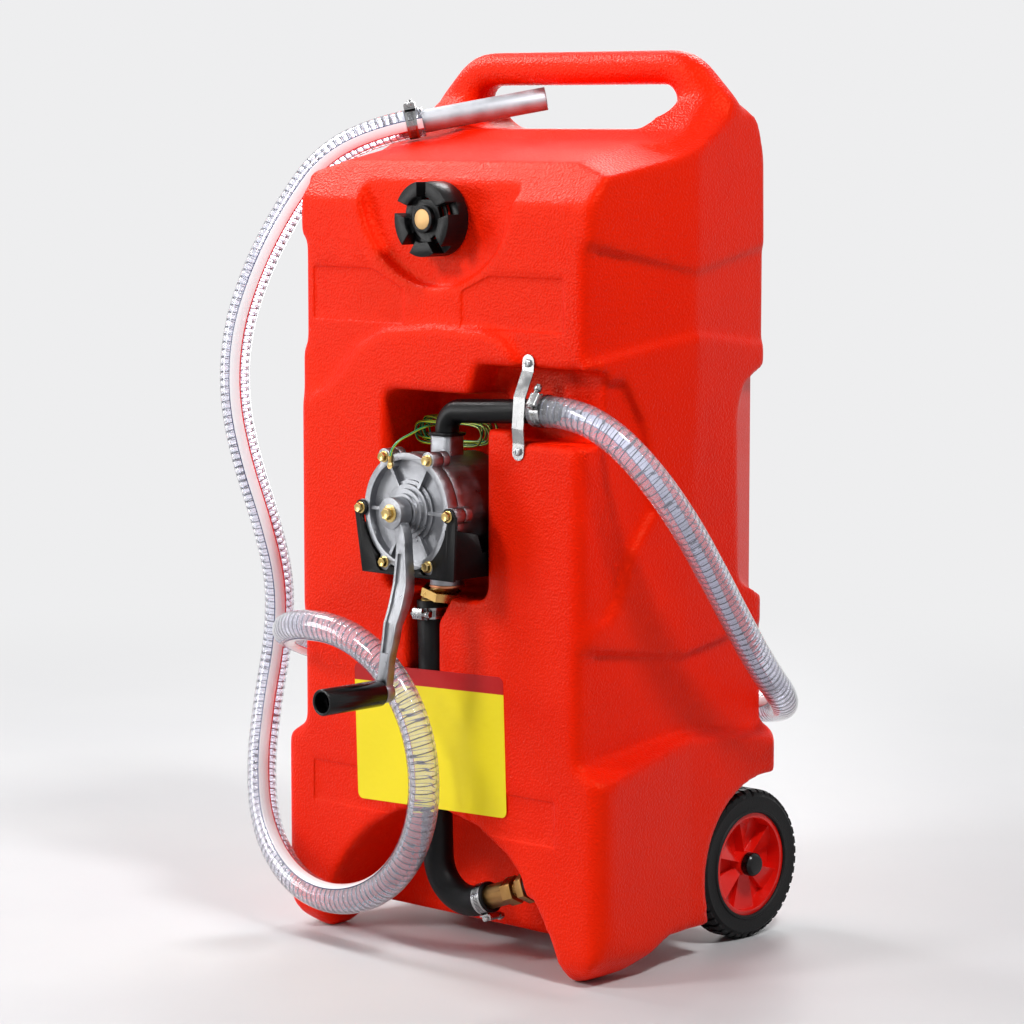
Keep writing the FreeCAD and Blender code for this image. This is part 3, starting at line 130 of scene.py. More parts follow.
# Earth wire: from the pump cover to the hank behind the pump's neck
wire_r = 0.00125
wire_start = (
    (-0.011, -0.1507, 0.5224), (-0.011, -0.1507, 0.532), (-0.007, -0.143, 0.543),
    (-0.006, -0.124, 0.549), (-0.015, -0.104, 0.552), (-0.020, -0.082, 0.554),
    (-0.022, -0.056, 0.554), (-0.046, -0.056, 0.554),
)
wire_stripe_edge = 0.88
lug_overlap = 0.004
hank_turns = 7
hank_half = 0.047
hank_rise = 0.011
hank_pitch = 0.0034
hank_centre_x = -0.022

# How far the hank's turns differ from one another: longer, higher, shifted, flatter
hank_longer = 0.10
hank_higher = 0.0026
hank_shifted = 0.005
hank_flatter = 0.2

# Pump, crank and clamps
pump = Vector((0.010, 0.0, 0.472))
cover_rim_y = -0.149
bracket_sheet = 0.003
bolt_circle_r = 0.0625
crank_front_y = -0.172
forward = Vector((0, -1, 0))
delivery_clamp_place = Vector((0.1463, -0.089, 0.57850))
delivery_way = Vector((1, 0, 0.055))
suction_hose_r = 0.016
suction_top = Vector((-0.020, -0.081, 0.372))
suction_fall = Vector((0.0304, 0.0, -0.9995))
nozzle_clamp_inset = 0.012
suction_clamp_inset = 0.013
outlet_clamp_reach = 0.071

# Bolts: across the flats, head's height, flange's radius, shank's radius and length, then their turn
cover_bolt_size = (0.0088, 0.0042, 0.0060, 0.0025, 0.024)
crank_bolt_size = (0.0108, 0.0062, 0.0092, 0.0030, 0.015)
cover_bolt_turn = 0.4
crank_bolt_turn = 0.3

# Wheels
axle = Vector((0.0, 0.189, 0.080))
tyre_face = 0.191
tyre_width = 0.036
tyre_r = 0.080
rim_r = 0.055
tread_steps = 132
tread_depth = 0.0022
tread_groove_half = 0.002
tread_gap_every = 3

# Sunken panels on the tank's front: left, right, low, high, then a corner cut (across, up, reach)
panels = (
    (-0.186, -0.050, 0.657, 0.715, 0.403, 0.915, 0.6149),
    (0.031, 0.174, 0.656, 0.712, -0.388, 0.922, 0.6288),
    (0.046, 0.170, 0.138, 0.186, -0.545, -0.839, -0.1517),
    (-0.182, -0.058, 0.141, 0.187, 0.545, -0.839, -0.1549),
)
panel_depth = 0.0012
panel_relief = 0.0008
panel_edge = 0.0034
relief_edge = 0.0022
relief_corner = 0.004

# Sticker: the lower edge of its red head where X is 0, and its lean
sticker_head_z = 0.2838
sticker_lean = math.radians(2)

# Floor and background: the floor fades into the background between two distances
floor_reach = 40.0
fade_from = 0.5
fade_to = 2.6
backdrop = (238, 238, 239)
ambient = (0.10, 0.10, 0.105, 1.0)

# Lamps: name, place, target, width and height, watts
lamps = (
    ("key", (-1.1, -2.8, 2.6), (0, 0, 0.55), (0.7, 0.8), 60),
    ("side", (1.9, -0.5, 3.0), (0, 0, 0.5), (0.5, 0.5), 70),
    ("left", (-2.2, -2.0, 0.9), (0, 0, 0.5), (0.8, 1.2), 26),
    ("brow", (-1.9, -0.1, 2.4), (0, 0, 0.8), (0.6, 0.6), 42),
    ("rear", (-1.0, 2.0, 2.6), (0, 0, 0.6), (0.7, 0.7), 32),
    ("back", (-2.0, 2.4, 0.9), (0, 0, 0.5), (1.0, 1.2), 16),
)

# Points nearer than this are one point
same_place = 2e-6


def screen(red, green, blue):
    """A colour as it looks on a screen, 0 to 255, turned into linear light."""
    def linear(level):
        level /= 255
        return level / 12.92 if level <= 0.04045 else ((level + 0.055) / 1.055) ** 2.4
    return (linear(red), linear(green), linear(blue), 1.0)


# Shared effects

def new_group(name, inputs, outputs):
    """An empty node group with float inputs and the named outputs."""
    group = bpy.data.node_groups.new(name, "ShaderNodeTree")
    for label, value in inputs:
        socket = group.interface.new_socket(name=label, in_out="INPUT", socket_type="NodeSocketFloat")
        socket.default_value = value
    for label in outputs:
        group.interface.new_socket(name=label, in_out="OUTPUT", socket_type="NodeSocketFloat")
    return group, group.nodes.new("NodeGroupInput"), group.nodes.new("NodeGroupOutput")


def make_moulded_grain():
    """The fine leathery grain that a blasted mould leaves: soft pits with smaller ones between."""
    group, given, made = new_group("moulded_grain", [("Grains per metre", 420.0)], ["Height"])
    place = group.nodes.new("ShaderNodeTexCoord")
    pits = group.nodes.new("ShaderNodeTexVoronoi")
    pits.feature = "SMOOTH_F1"
    pits.inputs["Smoothness"].default_value = 0.6
    specks = group.nodes.new("ShaderNodeTexNoise")
    specks.inputs["Detail"].default_value = 3.0
    mix = group.nodes.new("ShaderNodeMix")
    mix.inputs["Factor"].default_value = 0.5
    for texture in (pits, specks):
        group.links.new(place.outputs["Object"], texture.inputs["Vector"])
        group.links.new(given.outputs["Grains per metre"], texture.inputs["Scale"])
    group.links.new(pits.outputs["Distance"], mix.inputs["A"])
    group.links.new(specks.outputs["Fac"], mix.inputs["B"])
    group.links.new(mix.outputs["Result"], made.inputs["Height"])
    return group


def make_soft_drift():
    """A slow change over the surface, for uneven colour and shine."""
    group, given, made = new_group("soft_drift", [("Patches per metre", 9.0)], ["Mask"])
    place = group.nodes.new("ShaderNodeTexCoord")
    cloud = group.nodes.new("ShaderNodeTexNoise")
    cloud.inputs["Detail"].default_value = 4.0
    cloud.inputs["Roughness"].default_value = 0.55
    spread = group.nodes.new("ShaderNodeMapRange")
    spread.inputs["From Min"].default_value = 0.32
    spread.inputs["From Max"].default_value = 0.68
    group.links.new(place.outputs["Object"], cloud.inputs["Vector"])
    group.links.new(given.outputs["Patches per metre"], cloud.inputs["Scale"])
    group.links.new(cloud.outputs["Fac"], spread.inputs["Value"])
    group.links.new(spread.outputs["Result"], made.inputs["Mask"])
    return group


def maths(tree, operation, *values):
    """A Math node fed with numbers or sockets; gives its output."""
    node = tree.nodes.new("ShaderNodeMath")
    node.operation = operation
    for socket, value in zip(node.inputs, values):
        if isinstance(value, (int, float)):
            socket.default_value = value
        else:
            tree.links.new(value, socket)
    return node.outputs["Value"]


def make_sunken_panel():
    """A shallow plain panel with soft corners, one of them cut off: 1 inside, 0 outside."""
    sides = ["Left", "Right", "Low", "High", "Across", "Up", "Reach"]
    group, given, made = new_group("sunken_panel", [(side, 0.0) for side in sides], ["Height"])
    place = group.nodes.new("ShaderNodeTexCoord")
    axes = group.nodes.new("ShaderNodeSeparateXYZ")
    group.links.new(place.outputs["Object"], axes.inputs["Vector"])
    x, z = axes.outputs["X"], axes.outputs["Z"]
    left, right, low, high, across, up, reach = (given.outputs[side] for side in sides)
    cut = maths(group, "SUBTRACT", maths(group, "ADD", maths(group, "MULTIPLY", x, across),
                                         maths(group, "MULTIPLY", z, up)), reach)
    beyond = maths(group, "SUBTRACT", left, x)
    for gap in (maths(group, "SUBTRACT", x, right), maths(group, "SUBTRACT", low, z),
                maths(group, "SUBTRACT", z, high), cut):
        beyond = maths(group, "SMOOTH_MAX", beyond, gap, relief_corner)
    edge = group.nodes.new("ShaderNodeMapRange")
    edge.interpolation_type = "SMOOTHSTEP"
    edge.inputs["From Min"].default_value = 0.0
    edge.inputs["From Max"].default_value = -relief_edge
    front = maths(group, "LESS_THAN", axes.outputs["Y"], front_half_y)
    group.links.new(beyond, edge.inputs["Value"])
    group.links.new(maths(group, "MULTIPLY", edge.outputs["Result"], front), made.inputs["Height"])
    return group


moulded_grain = make_moulded_grain()
soft_drift = make_soft_drift()
sunken_panel = make_sunken_panel()


class Finish:
    """A material under construction: its tree and the shader that its effects feed."""

    def __init__(self, name, roughness, metallic=0.0, coat=0.0):
        self.material = bpy.data.materials.new(name)
        self.material.use_nodes = True
        self.nodes = self.material.node_tree.nodes
        self.links = self.material.node_tree.links
        self.shader = self.nodes["Principled BSDF"]
        self.shader.inputs["Roughness"].default_value = roughness
        self.shader.inputs["Metallic"].default_value = metallic
        self.shader.inputs["Coat Weight"].default_value = coat
        self.shader.inputs["Coat Roughness"].default_value = 0.12
        self.roughness = roughness

    def group(self, tree, **values):
        node = self.nodes.new("ShaderNodeGroup")
        node.node_tree = tree
        for label, value in values.items():
            node.inputs[label.replace("_", " ")].default_value = value
        return node

    def colour_between(self, first, second, mask):
        mix = self.nodes.new("ShaderNodeMix")
        mix.data_type = "RGBA"
        mix.inputs["A"].default_value = first
        mix.inputs["B"].default_value = second
        self.links.new(mask, mix.inputs["Factor"])
        return mix.outputs["Result"]

    def object_axes(self):
        """The place on the object, split into X, Y and Z."""
        place = self.nodes.new("ShaderNodeTexCoord")
        axes = self.nodes.new("ShaderNodeSeparateXYZ")
        self.links.new(place.outputs["Object"], axes.inputs["Vector"])
        return axes.outputs

    def hose_axes(self):
        """The place on a hose or wire: X and Y across it, Z along it."""
        place = self.nodes.new("ShaderNodeAttribute")
        place.attribute_name = "hose_place"
        axes = self.nodes.new("ShaderNodeSeparateXYZ")
        self.links.new(place.outputs["Vector"], axes.inputs["Vector"])
        return axes.outputs

    def drift(self, first, second, patches, shine=0.06):
        """Colour and shine that wander a little between two values."""
        mask = self.group(soft_drift, Patches_per_metre=patches).outputs["Mask"]
        colour = self.colour_between(first, second, mask)
        self.links.new(colour, self.shader.inputs["Base Color"])
        spread = self.nodes.new("ShaderNodeMapRange")
        spread.inputs["To Min"].default_value = self.roughness - shine
        spread.inputs["To Max"].default_value = self.roughness + shine
        self.links.new(mask, spread.inputs["Value"])
        self.links.new(spread.outputs["Result"], self.shader.inputs["Roughness"])
        return colour

    def grain(self, per_metre, depth):
        """Bumps of that depth, in metres, at that many per metre."""
        height = self.group(moulded_grain, Grains_per_metre=per_metre).outputs["Height"]
        bump = self.nodes.new("ShaderNodeBump")
        bump.inputs["Distance"].default_value = depth
        self.links.new(height, bump.inputs["Height"])
        self.links.new(bump.outputs["Normal"], self.shader.inputs["Normal"])
        return bump


def plastic(name, first, second, roughness, per_metre, depth, sheen=0.5):
    """A dielectric; sheen is how strongly it mirrors, 0.5 being plain plastic."""
    finish = Finish(name, roughness)
    finish.shader.inputs["Specular IOR Level"].default_value = sheen
    finish.drift(first, second, 11.0)
    finish.grain(per_metre, depth)
    return finish.material


def metal(name, first, second, roughness, per_metre, depth):
    finish = Finish(name, roughness, metallic=1.0)
    finish.drift(first, second, 60.0, 0.08)
    finish.grain(per_metre, depth)
    return finish.material


def make_tank_red():
    """Red moulding: a pebble grain, the plain panels sunk into its front and the seam round its sides."""
    finish = Finish("tank_red", 0.38)
    finish.shader.inputs["Specular IOR Level"].default_value = 0.14
    finish.shader.inputs["Specular Tint"].default_value = (1.0, 0.66, 0.28, 1.0)
    finish.drift(screen(236, 26, 2), screen(242, 33, 3), 7.0, 0.04)
    grain = finish.grain(430.0, 0.0012)
    tree = finish.material.node_tree
    depth = 0.0
    for sides in panels:
        panel = finish.group(sunken_panel, **dict(zip(
            ("Left", "Right", "Low", "High", "Across", "Up", "Reach"), sides)))
        depth = maths(tree, "ADD", depth, panel.outputs["Height"])
    axes = finish.object_axes()
    seam = maths(tree, "COMPARE", axes["Y"], parting_y, seam_half_width)
    seam = maths(tree, "MULTIPLY", seam, maths(tree, "LESS_THAN", axes["Z"], seam_high_z))
    seam = maths(tree, "MULTIPLY", seam, seam_share)
    bump = finish.nodes.new("ShaderNodeBump")
    bump.invert = True
    bump.inputs["Distance"].default_value = panel_relief
    finish.links.new(maths(tree, "SUBTRACT", depth, seam), bump.inputs["Height"])
    finish.links.new(bump.outputs["Normal"], grain.inputs["Normal"])
    return finish.material


tank_red = make_tank_red()

# Name, two colours to wander between, roughness, grains per metre, their depth, how strongly it mirrors
rim_red = plastic("rim_red", screen(222, 20, 12), screen(230, 27, 16), 0.24, 900.0, 0.0001, 0.40)
black_moulding = plastic("black_moulding", screen(9, 9, 10), screen(14, 14, 15), 0.34, 1100.0, 0.0002, 0.17)
black_gloss = plastic("black_gloss", screen(8, 8, 9), screen(12, 12, 13), 0.20, 700.0, 0.0001, 0.26)
black_coat = plastic("black_coat", screen(10, 10, 11), screen(15, 15, 16), 0.42, 1400.0, 0.0002, 0.14)
black_rubber = plastic("black_rubber", screen(10, 10, 11), screen(16, 16, 17), 0.42, 900.0, 0.0002, 0.15)
tyre_rubber = plastic("tyre_rubber", screen(11, 11, 12), screen(19, 19, 20), 0.52, 800.0, 0.0004, 0.20)
pump_casting = metal("pump_casting", screen(134, 135, 139), screen(152, 153, 157), 0.35, 1500.0, 0.0003)
stainless = metal("stainless", screen(142, 142, 143), screen(166, 166, 166), 0.24, 2600.0, 0.00002)
shaft_steel = metal("shaft_steel", screen(160, 161, 164), screen(176, 177, 179), 0.30, 2600.0, 0.00002)
bolt_gold = metal("bolt_gold", screen(188, 160, 96), screen(208, 182, 124), 0.28, 2200.0, 0.00004)
turned_brass = metal("turned_brass", screen(184, 146, 84), screen(202, 166, 104), 0.30, 2200.0, 0.00003)
disc_brass = metal("disc_brass", screen(166, 132, 88), screen(182, 148, 104), 0.46, 2200.0, 0.00003)
# Painted shade: turned_brass made darker to stand in for the shade that falls on the low outlet fitting and
# its nut
brass_painted_shade = metal("brass_painted_shade", screen(142, 104, 58), screen(160, 122, 74), 0.34, 2200.0, 0.00003)
dull_copper = metal("dull_copper", screen(186, 120, 88), screen(206, 140, 104), 0.38, 2200.0, 0.0001)
spout_alloy = metal("spout_alloy", screen(172, 174, 179), screen(188, 190, 195), 0.56, 2600.0, 0.00002)
spiral_steel = metal("spiral_steel", screen(78, 80, 92), screen(98, 100, 112), 0.30, 2600.0, 0.00002)


def make_blank_sticker():
    """Printed film with a red head over a yellow field, left blank."""
    finish = Finish("blank_sticker", 0.40)
    finish.shader.inputs["Specular IOR Level"].default_value = 0.2
    tree = finish.material.node_tree
    axes = finish.object_axes()
    lean = maths(tree, "MULTIPLY", axes["X"], math.tan(sticker_lean))
    height = maths(tree, "SUBTRACT", axes["Z"], lean)
    head = maths(tree, "GREATER_THAN", height, sticker_head_z)
    colour = finish.colour_between(screen(246, 224, 30), screen(186, 18, 20), head)
    finish.links.new(colour, finish.shader.inputs["Base Color"])
    finish.grain(160.0, 0.00025)
    return finish.material


blank_sticker = make_blank_sticker()


# Making pieces

def add_piece(name, mesh, body, material, replaces=()):
    """Link a mesh as a piece that rides on a body."""
    piece = bpy.data.objects.new(name, mesh)
    bpy.context.scene.collection.objects.link(piece)
    piece.data.materials.clear()
    piece.data.materials.append(material)
    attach(piece, body)
    if replaces:
        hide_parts(*replaces)
    return piece


def mesh_from(name, bm, smooth=True):
    mesh = bpy.data.meshes.new(name)
    bm.to_mesh(mesh)
    bm.free()
    if smooth:
        mesh.shade_smooth()
    return mesh


def merged_copy(node):
    """A copy of a node's mesh with its loose triangles joined, as a shape to work on."""
    bm = bmesh.new()
    bm.from_mesh(nodes[node].data)
    bmesh.ops.remove_doubles(bm, verts=bm.verts, dist=same_place)
    return bm


def soft_edged(node, material, radius):
    """The node's own shape with its edges rounded, in place of the sharp one."""
    bm = merged_copy(node)
    bmesh.ops.dissolve_limit(bm, angle_limit=math.radians(0.5), verts=bm.verts, edges=bm.edges)
    mesh = mesh_from(node + "_shape", bm)
    piece = add_piece(node + "_shape", mesh, body_of_node[node], material, [node])
    bevel = piece.modifiers.new("edges", "BEVEL")
    bevel.width = radius
    bevel.segments = 2
    bevel.limit_method = "ANGLE"
    bevel.angle_limit = math.radians(32)
    bevel.harden_normals = True
    return piece


def set_at(place, ahead, side=Vector((0, 0, 1))):
    """A place for a small piece: its Z runs ahead and its Y leans to the given side."""
    ahead = Vector(ahead).normalized()
    across = Vector(side).cross(ahead).normalized()
    turn = Matrix((across, ahead.cross(across), ahead)).transposed().to_4x4()
    return Matrix.Translation(place) @ turn


def turned(profile, place=Matrix.Identity(4), steps=40):
    """A turned shape: points of radius and height spun round Z, then set in place."""
    bm = bmesh.new()
    points = [bm.verts.new((radius, 0, height)) for radius, height in profile]
    edges = [bm.edges.new(pair) for pair in zip(points, points[1:])]
    bmesh.ops.spin(bm, geom=points + edges, cent=(0, 0, 0), axis=(0, 0, 1), angle=2 * math.pi,
                   steps=steps, use_merge=True)
    bmesh.ops.remove_doubles(bm, verts=bm.verts, dist=same_place)
    bmesh.ops.recalc_face_normals(bm, faces=bm.faces)
    bmesh.ops.transform(bm, matrix=place, verts=bm.verts)
    return bm


def extruded(bm, row):
    """The new vertices that an open or closed row of vertices is drawn out to."""
    inside = set(row)
    edges = dict.fromkeys(e for v in row for e in v.link_edges if e.other_vert(v) in inside)
    made = bmesh.ops.extrude_edge_only(bm, edges=list(edges))["geom"]
    return [g for g in made if isinstance(g, bmesh.types.BMVert)]


def soft_bevel(bm, edges, radius, segments=2):
    bmesh.ops.bevel(bm, geom=edges, offset=radius, offset_type="OFFSET", affect="EDGES",
                    segments=segments, profile=0.5, material=-1, clamp_overlap=True)


def joined(parts):
    """Several shapes as one."""
    whole = bmesh.new()
    for part in parts:
        mesh = bpy.data.meshes.new("part")
        part.to_mesh(mesh)
        part.free()
        whole.from_mesh(mesh)
        bpy.data.meshes.remove(mesh)
    return whole


def crisp(mesh, angle=38):
    """Smooth shading that breaks at sharp edges."""
    mesh.shade_smooth()
    mesh.set_sharp_from_angle(angle=math.radians(angle))
    return mesh


def hexagon(flats, height, place):
    """A hexagon head with chamfered corners and a shallow dish in its top."""
    bm = bmesh.new()
    corner = flats / math.sqrt(3)
    bmesh.ops.create_cone(bm, cap_ends=True, segments=6, radius1=corner, radius2=corner, depth=height,
                          matrix=Matrix.Translation((0, 0, height / 2)))
    chamfer = flats * 0.07
    dish_edge = flats * 0.14
    dish_depth = height * 0.12
    soft_bevel(bm, [e for e in bm.edges if all(v.co.z > height * 0.9 for v in e.verts)], chamfer)
    lid = max(bm.faces, key=lambda f: f.calc_center_median().z + f.calc_area())
    bmesh.ops.inset_region(bm, faces=[lid], thickness=dish_edge, depth=-dish_depth)
    bmesh.ops.transform(bm, matrix=place, verts=bm.verts)
    return bm


def flanged_bolt(place, flats, height, flange_r, shank_r, shank_length):
    """A hexagon bolt with its washer face and shank. Its Z points out of the head."""
    lip = 0.0012
    head = hexagon(flats, height, place @ Matrix.Translation((0, 0, lip)))
    flange = turned([(0, 0), (flange_r - 0.0003, 0), (flange_r, 0.0003), (flange_r, lip - 0.0004),
                     (flange_r - 0.0006, lip), (0, lip)], place)
    shank = turned([(0, -shank_length), (shank_r, -shank_length), (shank_r, 0), (0, 0)], place, 16)
    return joined([flange, shank, head])


def worm_clamp(place, radius):
    """A worm-drive clamp: slotted band, formed housing and screw. Z runs along the hose, Y to the screw."""
    screw_y = radius + 0.0048
    lie = Matrix.Translation((0, screw_y, 0)) @ Matrix.Rotation(math.pi / 2, 4, "Y")
    housing = block(0.0135, 0.0066, 0.0122, radius + 0.0039)
    soft_bevel(housing, [e for e in housing.edges if all(v.co.y > screw_y for v in e.verts)
                         and abs(e.verts[0].co.z - e.verts[1].co.z) < same_place], 0.0026, 4)
    saddle = block(0.019, 0.0012, 0.0122, radius + 0.0009)
    clamp = joined([clamp_band(radius), housing, saddle] + clamp_screw(lie))
    bmesh.ops.transform(clamp, matrix=place, verts=clamp.verts)
    return clamp


def block(length, thickness, width, middle_y):
    """A box whose middle lies at that height over the hose's middle."""
    bm = bmesh.new()
    shape = Matrix.Translation((0, middle_y, 0)) @ Matrix.Diagonal((length, thickness, width, 1))
    bmesh.ops.create_cube(bm, size=1.0, matrix=shape)
    return bm


def clamp_band(radius):
    """The clamp's band, with a row of slots except under its screw."""
    edge = 0.0021
    slotted = 0.0074
    band = bmesh.new()
    ring = bmesh.ops.create_circle(band, segments=72, radius=radius + 0.0002)["verts"]
    bmesh.ops.translate(band, vec=(0, 0, -edge - slotted / 2), verts=ring)
    for rise in (edge, slotted, edge):
        ring = extruded(band, ring)
        bmesh.ops.translate(band, vec=(0, 0, rise), verts=ring)
    slots = [f for f in band.faces if abs(f.calc_center_median().z) < 0.001
             and f.calc_center_median().y < radius * 0.8]
    bmesh.ops.inset_individual(band, faces=slots, thickness=0.00038, use_even_offset=True)
    bmesh.ops.delete(band, geom=slots, context="FACES")
    bmesh.ops.recalc_face_normals(band, faces=band.faces)
    bmesh.ops.solidify(band, geom=band.faces[:], thickness=-0.0007)
    return band


def clamp_screw(lie):
    """The clamp's screw along the Z of the given place: thread, round head and hexagon."""
    crest, root = 0.0026, 0.0021
    low, half_pitch = -0.0094, 0.00095
    thread = [(0, -0.0095)]
    thread += [(crest if k % 2 else root, low + k * half_pitch) for k in range(23)]
    thread.append((0, 0.0116))
    head = [(0, 0.0112), (0.0036, 0.0112), (0.0039, 0.0116), (0.0039, 0.0146), (0.0034, 0.0152), (0, 0.0152)]
    drive = bmesh.new()
    bmesh.ops.create_cone(drive, cap_ends=True, segments=6, radius1=0.0034, radius2=0.0034, depth=0.0022,
                          matrix=lie @ Matrix.Translation((0, 0, 0.0161)))
    return [turned(thread, lie, 20), turned(head, lie, 28), drive]


def smooth_line(name, route, steps):
    """Points along the smooth line through a route's control points."""
    curve = bpy.data.curves.new(name, "CURVE")
    curve.dimensions = "3D"
    spline = curve.splines.new("NURBS")
    spline.points.add(len(route) - 1)
    for point, place in zip(spline.points, route):
        point.co = (*place, 1.0)
    spline.order_u = 3
    spline.use_endpoint_u = True
    spline.resolution_u = steps
    holder = bpy.data.objects.new(name, curve)
    mesh = bpy.data.meshes.new_from_object(holder)
    points = [v.co.copy() for v in mesh.vertices]
    bpy.data.objects.remove(holder)
    bpy.data.curves.remove(curve)
    bpy.data.meshes.remove(mesh)
    return points


def frames_along(points, side):
    """A frame at each point whose Z runs along the line and whose X turns as little as it can."""
    frames = []
    for i, point in enumerate(points):
        ahead = points[min(i + 1, len(points) - 1)] - points[max(i - 1, 0)]
        ahead.normalize()
        side = (side - ahead * side.dot(ahead)).normalized()
        other = ahead.cross(side)
        turn = Matrix((side, other, ahead)).transposed().to_4x4()
        frames.append(Matrix.Translation(point) @ turn)
    return frames


def turned_to_face(frames, seen_at, towards):
    """The same frames, all turned by one angle so that X faces the given way at one place."""
    nearest = min(frames, key=lambda f: (f.translation - seen_at).length)
    local = nearest.to_3x3().inverted() @ towards
    turn = Matrix.Rotation(math.atan2(local.y, local.x), 4, "Z")
    return [frame @ turn for frame in frames]


def twisted(frames, start_turn, until):
    """The same frames with a turn at the start that fades out over that share of the line."""
    last = until * (len(frames) - 1)
    return [frame @ Matrix.Rotation(start_turn * max(0.0, 1 - i / last), 4, "Z")
            for i, frame in enumerate(frames)]


def drawn_along(bm, row, frames, radius):
    """Draw a row of vertices along the frames. Its hose_place holds each point's turn and distance along."""
    place = bm.verts.layers.float_vector["hose_place"]
    along = 0.0
    for i, here in enumerate(frames):
        if i:
            row = extruded(bm, row)
            bmesh.ops.transform(bm, matrix=here @ frames[i - 1].inverted(), verts=row)
            along += (here.translation - frames[i - 1].translation).length
        back = here.inverted()
        for v in row:
            local = back @ v.co
            v[place] = Vector((local.x / radius, local.y / radius, along))
    bmesh.ops.recalc_face_normals(bm, faces=bm.faces)


def swept_tube(name, frames, radius, sides):
    """An open tube along the frames."""
    bm = bmesh.new()
    bm.verts.layers.float_vector.new("hose_place")
    ring = bmesh.ops.create_circle(bm, segments=sides, radius=radius, matrix=frames[0])["verts"]
    drawn_along(bm, ring, frames, radius)
    return mesh_from(name, bm)


def ribbon(name, frames, radius, half_angle, steps):
    """A strip bent round the line of frames over part of a turn."""
    bm = bmesh.new()
    bm.verts.layers.float_vector.new("hose_place")
    turns = [half_angle * (2 * k / steps - 1) for k in range(steps + 1)]
    row = [bm.verts.new((radius * math.cos(t), radius * math.sin(t), 0)) for t in turns]
    for pair in zip(row, row[1:]):
        bm.edges.new(pair)
    bmesh.ops.transform(bm, matrix=frames[0], verts=row)
    drawn_along(bm, row, frames, radius)
    return mesh_from(name, bm)


def helix_points(frames, radius, pitch, per_turn):
    """Points of a wire wound at a steady pitch round the line of frames."""
    points = []
    distances = [0.0]
    for a, b in zip(frames, frames[1:]):
        distances.append(distances[-1] + (b.translation - a.translation).length)
    step = pitch / per_turn
    span = 0
    for k in range(int(distances[-1] / step)):
        along = k * step
        while distances[span + 1] < along:
            span += 1
        share = (along - distances[span]) / (distances[span + 1] - distances[span])
        here = frames[span].lerp(frames[span + 1], share)
        angle = 2 * math.pi * k / per_turn
        points.append(here @ Vector((radius * math.cos(angle), radius * math.sin(angle), 0)))
    return points


# Camera, floor and light

def set_camera():
    data = bpy.data.cameras.new("camera")
    data.lens = camera_lens
    data.sensor_width = 36.0
    camera = bpy.data.objects.new("camera", data)
    bpy.context.scene.collection.objects.link(camera)
    ahead = Vector((-math.sin(camera_azimuth) * math.cos(camera_pitch),
                    math.cos(camera_azimuth) * math.cos(camera_pitch),
                    -math.sin(camera_pitch)))
    camera.location = camera_place
    camera.rotation_euler = ahead.to_track_quat("-Z", "Y").to_euler()
    bpy.context.scene.camera = camera


def background_rays(tree):
    """1 for what the eye, a mirror or clear plastic sees of the surroundings, 0 for their light."""
    ray = tree.nodes.new("ShaderNodeLightPath")
    total = maths(tree, "ADD", ray.outputs["Is Camera Ray"], ray.outputs["Is Glossy Ray"])
    return maths(tree, "MINIMUM", maths(tree, "ADD", total, ray.outputs["Is Transmission Ray"]), 1.0)


def set_floor():
    """A wide pale floor that fades into the background far from the object."""
    bm = bmesh.new()
    bmesh.ops.create_circle(bm, cap_ends=True, segments=96, radius=floor_reach)
    mesh = mesh_from("floor", bm, smooth=False)
    floor = bpy.data.objects.new("floor", mesh)
    bpy.context.scene.collection.objects.link(floor)
    finish = Finish("pale_floor", 0.6)
    finish.drift(screen(193, 193, 195), screen(198, 198, 199), 3.0, 0.03)
    place = finish.nodes.new("ShaderNodeTexCoord")
    far = finish.nodes.new("ShaderNodeVectorMath")
    far.operation = "LENGTH"
    fade = finish.nodes.new("ShaderNodeMapRange")
    fade.interpolation_type = "SMOOTHSTEP"
    fade.inputs["From Min"].default_value = fade_from
    fade.inputs["From Max"].default_value = fade_to
    tree = finish.material.node_tree
    glow_share = maths(tree, "MULTIPLY", fade.outputs["Result"], background_rays(tree))
    glow = finish.nodes.new("ShaderNodeEmission")
    glow.inputs["Color"].default_value = screen(*backdrop)
    mix = finish.nodes.new("ShaderNodeMixShader")
    out = finish.nodes["Material Output"]
    link = finish.links.new
    link(place.outputs["Object"], far.inputs[0])
    link(far.outputs["Value"], fade.inputs["Value"])
    link(glow_share, mix.inputs["Fac"])
    link(finish.shader.outputs["BSDF"], mix.inputs[1])
    link(glow.outputs["Emission"], mix.inputs[2])
    link(mix.outputs["Shader"], out.inputs["Surface"])
    mesh.materials.append(finish.material)


def softbox(name, place, target, size, watts):
    """A lamp with a rectangular face that points at its target."""
    data = bpy.data.lights.new(name, "AREA")
    data.shape = "RECTANGLE"
    data.size, data.size_y = size
    data.energy = watts
    lamp = bpy.data.objects.new(name, data)
    bpy.context.scene.collection.objects.link(lamp)
    lamp.location = place
    lamp.rotation_euler = (Vector(target) - Vector(place)).to_track_quat("-Z", "Y").to_euler()


def set_light():
    scene = bpy.context.scene
    scene.view_settings.view_transform = "Standard"
    world = bpy.data.worlds.new("studio")
    scene.world = world
    world.use_nodes = True
    tree = world.node_tree
    sky = tree.nodes["Background"]
    shown = tree.nodes.new("ShaderNodeMix")
    shown.data_type = "RGBA"
    shown.inputs["A"].default_value = ambient
    shown.inputs["B"].default_value = screen(*backdrop)
    tree.links.new(background_rays(tree), shown.inputs["Factor"])
    tree.links.new(shown.outputs["Result"], sky.inputs["Color"])
    for lamp in lamps:
        softbox(*lamp)


# Tank

